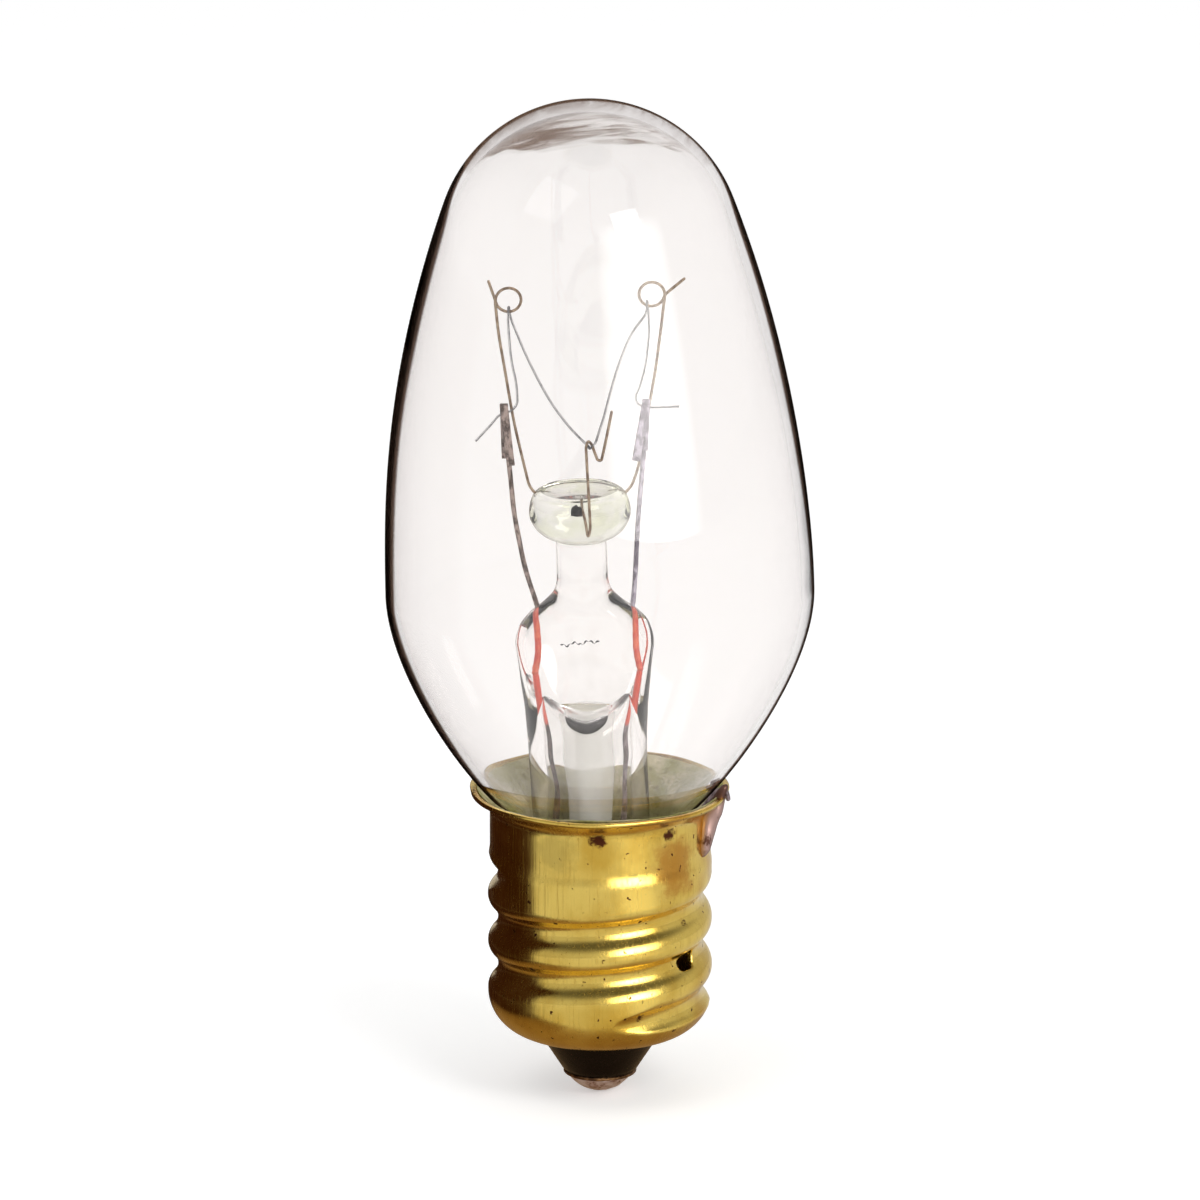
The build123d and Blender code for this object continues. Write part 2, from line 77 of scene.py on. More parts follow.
# Blown glass
GLASS_TOP = 52.85
GLASS_RADIUS = 11.06
WIDEST_HEIGHT = 26.95
CROWN_RADIUS = 7.9
GLASS_WALL = 0.5
CROWN_EXTRA, EXTRA_FROM = 0.15, 46.0
RIGHT_EXTRA, RIGHT_FROM = 0.1, 19.0
SWAY, SWAY_HEIGHT, SWAY_SPREAD = 0.22, 26.0, 8.0
SEAT_RADIUS, SEAT_HEIGHT = 5.61, 16.0
SEAT_ANGLE = 43.7
SEAT_PULL, BELLY_PULL = 3.43, 3.36
NECK_RADIUS, NECK_END, WAIST_ROUND = 4.4, 9.6, 0.5

# Stem and its wires
ROD_RADIUS, ROD_TOP = 1.32, 29.6
BUTTON_FACE, BUTTON_TOP, BUTTON_DISH = 2.05, 32.45, 0.12
TUBE_RADIUS, TUBE_BORE = 1.2, 0.62
LEAD_RADIUS = 0.13
SEAL_WIRE_RADIUS = 0.15
TAIL_RADIUS = 0.14
KNOT_RADIUS, WELD_HEIGHT = 0.2, 22.8
SUPPORT_RADIUS = 0.075
COIL_RADIUS, COIL_WIRE, COIL_PITCH = 0.055, 0.015, 0.056
CLAMP_WIDTH, CLAMP_THICKNESS = 0.42, 0.16
EYE_RADIUS, EYE_PITCH, EYE_DEPTH = 0.66, 0.34, 0.3

# Tip and solders
TIP_RADIUS, TIP_HEIGHT, INSULATOR_THICKNESS = 2.0, 1.16, 2.6
EYELET_RADIUS = 0.62
DOME_RADIUS, DOME_HEIGHT = 1.72, 0.98
SOLDER_DIRECTION, SOLDER_RADIUS = -16.0, 0.42

# Photograph: the camera's distance and aim and the width that it sees
CAMERA_DISTANCE, CAMERA_ELEVATION, AIM_HEIGHT, VIEW_WIDTH = 700.0, 16.0, 26.46, 61.86


# Mesh helpers


def leaned(points, angle, pivot):
    """Points turned about the Y axis at height pivot by angle degrees, towards -X."""
    turn = radians(angle)
    x, y, z = points[..., 0], points[..., 1], points[..., 2] - pivot
    return np.stack([x * cos(turn) - z * sin(turn), y, x * sin(turn) + z * cos(turn) + pivot], -1)


def on_stem(points):
    """Points of the upright stem, leaned with it."""
    return leaned(np.asarray(points, float), STEM_LEAN, STEM_PIVOT)


def unit(vectors):
    """The same directions with a length of one."""
    return vectors / np.linalg.norm(vectors, axis=-1, keepdims=True)


def wheel(radius, angle, height):
    """Points at a radius and angle about the Z axis, and a height."""
    radius, angle, height = np.broadcast_arrays(radius, angle, height)
    return np.stack([radius * np.cos(angle), radius * np.sin(angle), height], -1)


def surface(grid, poles=False, ring=False, mark=0.0):
    """Faces over a grid of points whose columns close round.

    Rows run along the profile. With poles the first and the last row are each gathered
    into one point, and ring joins the last row to the first. mark is kept with each
    point for its material.
    """
    rows, columns = grid.shape[:2]
    index = np.arange(rows * columns).reshape(rows, columns)
    if poles:
        index[[0, -1]] = index[[0, -1], :1]
    lower = index if ring else index[:-1]
    upper = np.roll(index, -1, 0) if ring else index[1:]
    quads = np.stack([lower, np.roll(lower, -1, 1), np.roll(upper, -1, 1), upper], -1)
    quads = quads.reshape(-1, 4)
    at_start = quads[:, 0] == quads[:, 1]
    at_end = quads[:, 2] == quads[:, 3]
    triangles = np.concatenate([quads[at_start][:, [0, 2, 3]], quads[at_end][:, [0, 1, 2]]])
    marks = np.broadcast_to(np.asarray(mark, float), (rows, columns)).reshape(-1)
    return grid.reshape(-1, 3), quads[~at_start & ~at_end], triangles, marks


def volume(points, quads, triangles):
    """Signed volume of a closed surface: a sixth of the sum of its triple products."""
    fan = np.concatenate([quads[:, [0, 1, 2]], quads[:, [0, 2, 3]], triangles])
    a, b, c = points[fan[:, 0]], points[fan[:, 1]], points[fan[:, 2]]
    return np.einsum("ij,ij->i", a, np.cross(b, c)).sum() / 6


def outward(part, inward=False):
    """The same surface with its faces turned outwards, or inwards round a bubble."""
    points, quads, triangles, marks = part
    if (volume(points, quads, triangles) < 0) != inward:
        quads, triangles = quads[:, ::-1], triangles[:, ::-1]
    return points, quads, triangles, marks


def make_piece(name, parts, material, nodes, sharp=None):
    """One object at the origin from closed surfaces, standing for CAD nodes."""
    points, faces, marks, start = [], [], [], 0
    for part_points, quads, triangles, part_marks in parts:
        used = np.unique(np.concatenate([quads.reshape(-1), triangles.reshape(-1)]))
        order = np.zeros(len(part_points), int)
        order[used] = np.arange(len(used)) + start
        points.append(part_points[used])
        marks.append(part_marks[used])
        faces += order[quads].tolist() + order[triangles].tolist()
        start += len(used)
    piece = mesh_object(name, np.concatenate(points), faces, np.concatenate(marks), material)
    piece.data.shade_smooth()
    if sharp:
        piece.data.set_sharp_from_angle(angle=radians(sharp))
    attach(piece, "root")
    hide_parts(*nodes)
    return piece


def mesh_object(name, points, faces, marks, material):
    """An object at the origin from points in millimetres, each with its mark."""
    mesh = bpy.data.meshes.new(name)
    mesh.from_pydata((points * MM).tolist(), [], faces)
    attribute = mesh.attributes.new("mark", "FLOAT", "POINT")
    attribute.data.foreach_set("value", marks.astype(np.float32))
    mesh.materials.append(material)
    made = bpy.data.objects.new(name, mesh)
    bpy.context.scene.collection.objects.link(made)
    return made


def turned(profile, columns, poles=False, ring=False, warp=None, mark=0.0):
    """A profile of (radius, height) carried round the Z axis. warp(angle, radius, height)
    gives the radius and the height that each point moves to."""
    angle = np.linspace(0, 2 * pi, columns, endpoint=False)[None]
    radius, height = (np.repeat(profile[:, k : k + 1], columns, 1) for k in (0, 1))
    if warp is not None:
        radius, height = warp(angle, radius, height)
    return surface(wheel(radius, angle, height), poles, ring, mark)


def arc(centre, radius, first, last, count):
    """Points of a circle from angle first to last in degrees, as (radius, height)."""
    angle = np.radians(np.linspace(first, last, count))
    return np.stack([centre[0] + radius * np.cos(angle), centre[1] + radius * np.sin(angle)], -1)


def line(first, last, count):
    """Points of a straight run, without its last point."""
    share = np.linspace(0, 1, count, endpoint=False)[:, None]
    return np.asarray(first, float) * (1 - share) + np.asarray(last, float) * share


def eased(first, last, count):
    """Points whose radius eases from the first to the last by a smooth step, without
    the last point."""
    share = np.linspace(0, 1, count, endpoint=False)
    ease = share**2 * (3 - 2 * share)
    radius = first[0] + (last[0] - first[0]) * ease
    return np.column_stack([radius, first[1] + (last[1] - first[1]) * share])


def turn_round(corner, before, after, count):
    """Parabola round a corner, from the point before it to the point after it."""
    t = np.linspace(0, 1, count).reshape(-1, *[1] * np.ndim(corner))
    return (1 - t) ** 2 * before + 2 * t * (1 - t) * corner + t**2 * after


def cubic(at, x, y, slope):
    """Cubic through each (x, y) with its slope there."""
    i = np.clip(np.searchsorted(x, at, "right") - 1, 0, len(x) - 2)
    step = (x[i + 1] - x[i])[:, None]
    t = (at - x[i])[:, None] / step
    return (
        y[i] * (1 + 2 * t) * (1 - t) ** 2
        + step * slope[i] * t * (1 - t) ** 2
        + y[i + 1] * t**2 * (3 - 2 * t)
        + step * slope[i + 1] * t**2 * (t - 1)
    )


def smooth_table(at, table):
    """Monotone cubic through the rows of a table: each row's slope is the harmonic mean
    of the slopes beside it, and zero where they change sign."""
    table = np.asarray(table, float)
    x, y = table[:, 0], table[:, 1:]
    beside = np.diff(y, axis=0) / np.diff(x)[:, None]
    product = beside[:-1] * beside[1:]
    inner = np.where(product > 0, 2 * product / (beside[:-1] + beside[1:] + 1e-12), 0)
    return cubic(at, x, y, np.concatenate([beside[:1], inner, beside[-1:]]))


def smooth_path(corners, count):
    """Cubic through corners at even steps: each corner's slope is half the way between
    its neighbours."""
    corners = np.asarray(corners, float)
    knots = np.linspace(0, 1, len(corners))
    return cubic(np.linspace(0, 1, count), knots, corners, np.gradient(corners, knots, axis=0))


def length_along(route):
    """Length of the route up to each of its points."""
    return np.concatenate([[0], np.cumsum(np.linalg.norm(np.diff(route, axis=0), axis=1))])


def read_off(at, lengths, values):
    """Rows of values that belong to lengths, read off at other lengths between them."""
    return np.stack([np.interp(at, lengths, values[:, k]) for k in range(3)], -1)


def bent(points, step):
    """Straight runs joined at each corner by a parabola over 0.45 of the shorter run,
    sampled at even steps."""
    p = np.asarray(points, float)
    runs = np.diff(p, axis=0)
    lengths = np.linalg.norm(runs, axis=1)
    ways = unit(runs)
    reach = 0.45 * np.minimum(lengths[:-1], lengths[1:])[:, None]
    curve = turn_round(p[1:-1], p[1:-1] - ways[:-1] * reach, p[1:-1] + ways[1:] * reach, 11)
    route = np.concatenate([p[:1], curve.transpose(1, 0, 2).reshape(-1, 3), p[-1:]])
    lengths = length_along(route)
    return read_off(np.linspace(0, lengths[-1], int(lengths[-1] / step) + 2), lengths, route)


def carried_frame(route):
    """Two directions across a route, carried along it without twisting: at each step
    the last one is made square to the new tangent."""
    tangent = unit(np.gradient(route, axis=0))
    seed = np.eye(3)[np.argmin(np.abs(tangent[0]))]
    side = np.empty_like(tangent)
    for i, way in enumerate(tangent):
        seed = unit(seed - way * (seed @ way))
        side[i] = seed
    return side, np.cross(tangent, side)


def tube(route, radius, sides=12, swell=None, mark=0.0):
    """A round section carried along a route, closed by a half round at each end.
    swell(share, angle) multiplies the radius."""
    rounding = np.radians([0, 30, 60])
    back = (1 - np.cos(rounding)) * radius
    lengths = length_along(route)
    inner = lengths[(lengths > radius) & (lengths < lengths[-1] - radius)]
    at = np.concatenate([back, inner, (lengths[-1] - back)[::-1]])
    radii = np.concatenate([np.sin(rounding), np.ones(len(inner)), np.sin(rounding)[::-1]])
    radii = np.repeat(radii[:, None] * radius, sides, 1)
    angle = np.linspace(0, 2 * pi, sides, endpoint=False)[None]
    if swell is not None:
        radii = radii * swell((at / lengths[-1])[:, None], angle)
    side, up = (read_off(at, lengths, way)[:, None] for way in carried_frame(route))
    across = np.cos(angle)[..., None] * side + np.sin(angle)[..., None] * up
    grid = read_off(at, lengths, route)[:, None] + radii[..., None] * across
    return outward(surface(grid, poles=True, mark=mark))


def strip(route, width, thickness, way, columns=24):
    """A rounded rectangle (a superellipse of power 6) carried along a route, its width
    along way."""
    tangent = unit(np.gradient(route, axis=0))
    wide = unit(way - tangent * (tangent @ way)[:, None])
    thick = np.cross(tangent, wide)
    angle = np.linspace(0, 2 * pi, columns, endpoint=False)[:, None]
    reach = (np.cos(angle) ** 6 + np.sin(angle) ** 6) ** (-1 / 6)
    across = width / 2 * reach * np.cos(angle) * wide[:, None]
    across = across + thickness / 2 * reach * np.sin(angle) * thick[:, None]
    ends = np.repeat(route[[0, -1], None], columns, 1)
    grid = np.concatenate([ends[:1], route[:, None] + across, ends[1:]])
    return outward(surface(grid, poles=True))


def ripple(angle, height, seed, waves=5, rate=3.0):
    """Soft unevenness from -1 to 1: a mean of sine waves round and up the piece."""
    rng = np.random.default_rng(seed)
    total = 0.0
    for _ in range(waves):
        round_rate = rng.integers(1, 7)
        up_rate = rng.uniform(0.3, 1.0) * rate
        total = total + np.sin(round_rate * angle + up_rate * height + rng.uniform(0, 2 * pi))
    return total / waves


# Material helpers


class Nodes:
    """A node tree: add() makes a node, sets its inputs and links sockets."""

    def __init__(self, tree):
        self.tree = tree
        tree.nodes.clear()

    def add(self, kind, inputs=None, **settings):
        node = self.tree.nodes.new(kind)
        for key, value in settings.items():
            setattr(node, key, value)
        for key, value in (inputs or {}).items():
            if isinstance(value, bpy.types.NodeSocket):
                self.tree.links.new(value, node.inputs[key])
            else:
                node.inputs[key].default_value = value
        return node

    def math(self, operation, a, b=0.0):
        return self.add("ShaderNodeMath", {0: a, 1: b}, operation=operation).outputs["Value"]

    def plus(self, *values):
        return reduce(lambda a, b: self.math("ADD", a, b), values)

    def times(self, *values):
        return reduce(lambda a, b: self.math("MULTIPLY", a, b), values)

    def most(self, *values):
        return reduce(lambda a, b: self.math("MAXIMUM", a, b), values)

    def ramp(self, value, low, high, to_low=0.0, to_high=1.0):
        """Smooth step of value from low to high."""
        ends = {"From Min": low, "From Max": high, "To Min": to_low, "To Max": to_high}
        inputs = {"Value": value, **ends}
        node = self.add("ShaderNodeMapRange", inputs, interpolation_type="SMOOTHSTEP")
        return node.outputs["Result"]

    def either(self, amount, first, second):
        """Shader mixed from first to second by amount."""
        return self.add("ShaderNodeMixShader", {0: amount, 1: first, 2: second}).outputs["Shader"]

    def seen(self, rays):
        """1 for what the camera sees, straight or through glass."""
        return self.most(rays["Is Camera Ray"], rays["Is Transmission Ray"])


class Finish(Nodes):
    """A material, whose patterns read Object coordinates with rates in millimetres."""

    def __init__(self, name):
        self.material = bpy.data.materials.new(name)
        self.material.use_nodes = True
        super().__init__(self.material.node_tree)
        self.object = self.add("ShaderNodeTexCoord").outputs["Object"]

    def noise(self, rates, detail=4.0, roughness=0.55, distortion=0.0, tilt=0.0):
        """Noise with a rate for each axis, in cycles a millimetre, on coordinates tilted
        about Y by degrees."""
        place = self.object
        if tilt:
            turn = {"Vector": place, "Rotation": (0, radians(tilt), 0)}
            place = self.add("ShaderNodeMapping", turn).outputs["Vector"]
        scale = tuple(rate / MM for rate in np.broadcast_to(rates, 3).tolist())
        place = self.add("ShaderNodeMapping", {"Vector": place, "Scale": scale}).outputs["Vector"]
        kind = {"Detail": detail, "Roughness": roughness, "Distortion": distortion}
        node = self.add("ShaderNodeTexNoise", {"Vector": place, "Scale": 1.0, **kind})
        return node.outputs["Fac"]

    def blend(self, amount, first, second):
        """Colour from first to second by amount."""
        ends = {0: amount}
        for key, value in ((6, first), (7, second)):
            ends[key] = value if isinstance(value, bpy.types.NodeSocket) else (*value, 1.0)
        return self.add("ShaderNodeMix", ends, data_type="RGBA").outputs[2]

    def bump(self, height, distance, strength=1.0):
        size = {"Height": height, "Distance": distance * MM, "Strength": strength}
        return self.add("ShaderNodeBump", size).outputs["Normal"]

    def facing(self):
        """0 where the surface is seen square on, 1 where it is seen edge on."""
        return self.add("ShaderNodeLayerWeight", {"Blend": 0.5}).outputs["Facing"]

    def place(self, axis="Z"):
        """Coordinate of the point in millimetres: Z is its height above the floor."""
        part = self.add("ShaderNodeSeparateXYZ", {"Vector": self.object}).outputs[axis]
        return self.times(part, 1 / MM)

    def mark(self):
        """The value that the mesh keeps with each point."""
        return self.add("ShaderNodeAttribute", attribute_name="mark").outputs["Fac"]

    def spot(self, centre, radius, ragged=1.6):
        """1 within a ragged spot round a point in millimetres, 0 outside it."""
        ends = {0: self.object, 1: tuple(c * MM for c in centre)}
        away = self.add("ShaderNodeVectorMath", ends, operation="DISTANCE").outputs["Value"]
        edge = self.noise(0.9 / radius, detail=5.0, roughness=0.7)
        share = self.plus(self.times(away, 1 / (radius * MM)), self.times(edge, ragged * 2))
        return self.ramp(share, 0.35 + ragged, 1.0 + ragged, 1.0, 0.0)

    def covered(self, shader):
        """The material with this shader on its output."""
        self.add("ShaderNodeOutputMaterial", {"Surface": shader})
        return self.material

    def shine(self, colour, inputs):
        """The material as a Principled shader."""
        shader = self.add("ShaderNodeBsdfPrincipled", {"Base Color": colour, **inputs})
        return self.covered(shader.outputs["BSDF"])

    def glass(self, colour):
        """The material as clear glass, which lets the lamps' shadow rays through."""
        glass = self.add("ShaderNodeBsdfGlass", {"Color": colour, "Roughness": 0.0, "IOR": 1.5})
        through = self.add("ShaderNodeBsdfTransparent", {"Color": (0.96, 0.96, 0.95, 1.0)})
        shadow = self.add("ShaderNodeLightPath").outputs["Is Shadow Ray"]
        return self.covered(self.either(shadow, glass.outputs["BSDF"], through.outputs["BSDF"]))


def envelope_glass():
    """Blown glass: clear with a faint warm tint. Painted shade darkens the outer wall where it
    is seen edge on, more towards the left, and paints the inner wall tan there. A dark,
    streaked painted reflection lies on the far half of the crown and is darker where sight
    crosses it aslant."""
    clear, grey_edge_shade, tan_edge_shade = (0.985, 0.976, 0.971), (0.6, 0.56, 0.6), (0.5, 0.4, 0.26)
    brown, black, painted_crown_reflection = (0.13, 0.085, 0.065), (0.018, 0.011, 0.008), (0.23, 0.145, 0.1)
    f = Finish("blown_glass")
    facing = f.facing()
    inner = f.mark()
    outer = f.math("SUBTRACT", 1.0, inner)
    # Painted shade: the outer wall goes grey, brown and black where it is seen edge on, standing in for
    # the dark refraction at the glass's rim. The band is wider towards the left and changes with height.
    # The inner wall gets a tan painted shade there.
    waver = f.times(f.noise((0.11, 0.11, 0.06), detail=1.0), 0.12)
    aside = f.times(f.place("X"), -0.0045)
    side = f.ramp(f.place(), 14.0, 44.0, -0.09, 0.02)
    top = f.ramp(f.place(), 46.0, 51.5, 0.0, -0.11)
    edge = f.plus(facing, side, top, waver, aside)
    colour = f.blend(f.times(f.ramp(facing, 0.35, 0.7, 0.0, 0.12), outer), clear, grey_edge_shade)
    colour = f.blend(f.times(f.ramp(facing, 0.9, 0.995, 0.0, 0.55), inner), colour, tan_edge_shade)
    colour = f.blend(f.times(f.ramp(edge, 0.765, 0.81), outer), colour, brown)
    colour = f.blend(f.times(f.ramp(edge, 0.81, 0.87), outer), colour, black)
    # Painted reflection: a dark, streaked band on the far half of the crown, denser on the left, stands in
    # for the reflection of dark surroundings in the crown.
    wobble = f.noise((0.25, 0.25, 0.1), detail=2.0)
    lower = f.ramp(f.place("X"), -6.0, 3.0, 0.3, 0.0)
    crown = f.ramp(f.plus(f.place(), f.times(f.plus(wobble, lower), 1.3)), 50.5, 50.66)
    behind = f.ramp(f.place("Y"), -2.4, 1.6)
    streaks = f.noise((0.33, 0.33, 2.6), detail=5.0, roughness=0.6, distortion=0.8, tilt=9.0)
    left = f.ramp(f.place("X"), -5.0, 2.0, 0.2, -0.02)
    density = f.ramp(f.plus(streaks, left), 0.36, 0.74, 0.12, 1.0)
    slant = f.ramp(facing, 0.3, 0.5, 0.16, 1.0)
    return f.glass(f.blend(f.times(crown, behind, density, slant), colour, painted_crown_reflection))


def stem_glass():
    """Pressed glass: painted grey brown shade where it is seen edge on, a green tinge in the
    button, and painted dark shade where the mesh is marked.
    """
    pale, pale_green, green = (0.99, 0.985, 0.98), (0.985, 0.985, 0.965), (0.915, 0.925, 0.83)
    streak, edge, painted_mark_shade = (0.7, 0.66, 0.6), (0.2, 0.16, 0.13), (0.07, 0.065, 0.07)
    f = Finish("stem_glass")
    button = f.ramp(f.place(), 29.4, 30.4)
    tinge = f.ramp(f.noise(0.7, detail=3.0), 0.42, 0.66)
    colour = f.blend(button, pale, f.blend(tinge, pale_green, green))
    streaks = f.noise((1.2, 1.2, 0.5), detail=3.0)
    colour = f.blend(f.ramp(streaks, 0.52, 0.8, 0.0, 0.12), colour, streak)
    # Painted shade: grey brown in specks where the glass is seen edge on, standing in for the dark
    # refraction at its edges.
    specks = f.ramp(f.noise(3.0, detail=2.0), 0.6, 0.72, 0.5, 1.0)
    colour = f.blend(f.times(f.ramp(f.facing(), 0.58, 0.9, 0.0, 0.95), specks), colour, edge)
    # Painted shade: dark in the bore's corners, over the pumping tube and along the crease, wherever the
    # mesh is marked.
    return f.glass(f.blend(f.mark(), colour, painted_mark_shade))


def cap_brass():
    """Rolled brass: fine upright scratches, tarnish in clouds, dark pits scattered and in
    a few larger spots, and an orange stain on the collar."""
    bright, tarnished, orange = (0.88, 0.64, 0.15), (0.66, 0.41, 0.06), (0.5, 0.2, 0.03)
    olive, scratched, burnt = (0.42, 0.3, 0.07), (0.4, 0.24, 0.04), (0.07, 0.02, 0.008)
    large_pits = (
        ((-0.13, -5.75, 15.2), 0.5), ((3.48, -4.5, 15.1), 0.5), ((1.2, -5.1, 6.72), 0.36),
        ((2.1, -5.2, 5.5), 0.26), ((-3.4, -4.2, 7.9), 0.3), ((4.4, -3.3, 10.1), 0.26),
    )
    f = Finish("cap_brass")
    clouds = f.noise((0.32, 0.32, 0.3), detail=5.0)
    colour = f.blend(f.ramp(clouds, 0.35, 0.7), bright, tarnished)
    patch = f.ramp(f.noise((0.16, 0.16, 0.2), detail=3.0), 0.55, 0.68, 0.0, 0.5)
    stain = f.times(f.spot((3.9, -4.2, 13.4), 1.9, 1.2), 0.75)
    colour = f.blend(f.most(patch, stain), colour, orange)
    colour = f.blend(f.times(f.spot((-2.35, -5.2, 14.4), 1.5, 0.9), 0.5), colour, olive)
    scratch = f.noise((9.0, 9.0, 0.35), detail=3.0, roughness=0.6)
    colour = f.blend(f.ramp(scratch, 0.52, 0.75, 0.0, 0.45), colour, scratched)
    small_pits = f.ramp(f.noise(2.6, detail=2.0), 0.67, 0.73)
    pits = f.most(small_pits, *(f.spot(centre, radius) for centre, radius in large_pits))
    colour = f.blend(pits, colour, burnt)
    rough = f.ramp(f.plus(scratch, f.times(pits, 0.5)), 0.3, 1.0, 0.13, 0.42)
    normal = f.bump(f.plus(scratch, f.times(clouds, 2.0)), 0.012, 0.3)
    return f.shine(colour, {"Metallic": 1.0, "Roughness": rough, "Normal": normal})


def dull_cement():
    """Khaki cement: sandy colour with olive stains and a gritty surface."""
    olive, sand, soot = (0.27, 0.26, 0.07), (0.5, 0.45, 0.27), (0.12, 0.1, 0.04)
    f = Finish("cap_cement")
    grit = f.noise(5.0)
    colour = f.blend(f.ramp(f.noise((0.5, 0.5, 0.6), detail=5.0), 0.35, 0.65), olive, sand)
    colour = f.blend(f.ramp(grit, 0.48, 0.7, 0.0, 0.6), colour, soot)
    return f.shine(colour, {"Roughness": 0.85, "Normal": f.bump(grit, 0.08, 0.7)})


def black_insulator():
    """Glossy black with faint brown dust and moulding waves."""
    black, brown = (0.004, 0.001, 0.001), (0.035, 0.01, 0.008)
    f = Finish("black_insulator")
    dust = f.noise(2.5, detail=5.0)
    colour = f.blend(f.ramp(dust, 0.55, 0.8, 0.0, 0.3), black, brown)
    rough = f.ramp(dust, 0.4, 0.8, 0.2, 0.42)
    normal = f.bump(f.noise(1.1, detail=2.0), 0.06, 0.5)
    return f.shine(colour, {"Roughness": rough, "Specular IOR Level": 0.15, "Normal": normal})


def solder_metal():
    """Solder: pinkish grey metal with dull frosted patches and a lumpy skin."""
    dull, bright = (0.42, 0.26, 0.22), (0.8, 0.68, 0.66)
    f = Finish("solder")
    frost = f.noise(1.4, detail=6.0, roughness=0.7)
    colour = f.blend(f.ramp(frost, 0.38, 0.66), dull, bright)
    rough = f.ramp(frost, 0.35, 0.7, 0.22, 0.45)
    normal = f.bump(f.noise(0.9, detail=3.0), 0.12, 0.6)
    return f.shine(colour, {"Metallic": 0.6, "Roughness": rough, "Normal": normal})


def burnt_solder():
    """Solder of the lip: pinkish grey with dark red-brown flux in patches, the same
    red-brown painted as shade where it is seen edge on, and darker up on its horn.
    """
    grey, burnt = (0.4, 0.26, 0.23), (0.07, 0.02, 0.008)
    f = Finish("burnt_solder")
    flux = f.noise((1.3, 1.3, 0.9), detail=5.0, roughness=0.65)
    horn = f.ramp(f.place(), 15.9, 16.6, 0.0, 0.9)
    # Dark red-brown comes from flux patches, from painted shade where the solder is seen edge on, and up
    # on the horn.
    dark = f.most(f.ramp(flux, 0.48, 0.62), f.ramp(f.facing(), 0.45, 0.85), horn)
    rough = f.ramp(flux, 0.35, 0.7, 0.35, 0.6)
    normal = f.bump(f.noise(1.2, detail=2.0), 0.05, 0.5)
    colour = f.blend(dark, grey, burnt)
    return f.shine(colour, {"Metallic": 0.5, "Roughness": rough, "Normal": normal})


def tail_metal(name, first, second):
    """Copper tail: dark in speckles, and still red above its upper end in the press."""
    f = Finish(name)
    spots = f.noise((4.0, 4.0, 2.2))
    end = f.plus(f.place(), f.times(spots, 0.8))
    colour = f.blend(f.ramp(spots, 0.4, 0.6), first, second)
    colour = f.blend(f.ramp(end, 20.2, 20.5), colour, (0.78, 0.09, 0.05))
    return f.shine(colour, {"Metallic": 0.3, "Roughness": f.ramp(spots, 0.3, 0.7, 0.35, 0.6)})


def wire_metal(name, first, second, roughness, metallic):
    """Drawn wire: two tones in speckles along it, with fine drawing marks."""
    f = Finish(name)
    spots = f.noise((4.0, 4.0, 2.2))
    colour = f.blend(f.ramp(spots, 0.4, 0.6), first, second)
    colour = f.blend(f.mark(), colour, (0.03, 0.028, 0.028))
    rough = f.ramp(spots, 0.3, 0.7, roughness - 0.08, roughness + 0.1)
    normal = f.bump(f.noise((9.0, 9.0, 1.5), detail=2.0), 0.01, 0.5)
    return f.shine(colour, {"Metallic": metallic, "Roughness": rough, "Normal": normal})


# Glass pieces


def glass_profile():
    """Outside of the glass from the crown to the neck: a round crown, a long side arc
    tangent to it, a cubic belly and a straight waist rounded into the neck."""
    rise = GLASS_TOP - CROWN_RADIUS - WIDEST_HEIGHT
    side = (GLASS_RADIUS**2 + rise**2 - CROWN_RADIUS**2) / (2 * (GLASS_RADIUS - CROWN_RADIUS))
    sweep = np.degrees(np.arctan2(rise, side - GLASS_RADIUS))
    crown = arc((0, GLASS_TOP - CROWN_RADIUS), CROWN_RADIUS, 90, sweep, 70)
    flank = arc((GLASS_RADIUS - side, WIDEST_HEIGHT), side, sweep, 0, 70)[1:]
    seat = np.array([SEAT_RADIUS, SEAT_HEIGHT])
    way = np.array([sin(radians(SEAT_ANGLE)), cos(radians(SEAT_ANGLE))])
    widest = flank[-1]
    t = np.linspace(0, 1, 70)[1:, None]
    belly = (
        (1 - t) ** 3 * widest
        + 3 * t * (1 - t) ** 2 * (widest - np.array([0, BELLY_PULL]))
        + 3 * t**2 * (1 - t) * (seat + way * SEAT_PULL)
        + t**3 * seat
    )
    corner = seat - way * ((SEAT_RADIUS - NECK_RADIUS) / way[0])
    neck = np.array([NECK_RADIUS, NECK_END])
    before, after = corner + way * WAIST_ROUND, corner - np.array([0, WAIST_ROUND])
    bend = turn_round(corner, before, after, 10)
    waist = line(seat, before, 8)[1:]
    straight = np.concatenate([line(after, neck, 12)[1:], neck[None]])
    return np.concatenate([crown, flank, belly, waist, bend, straight])


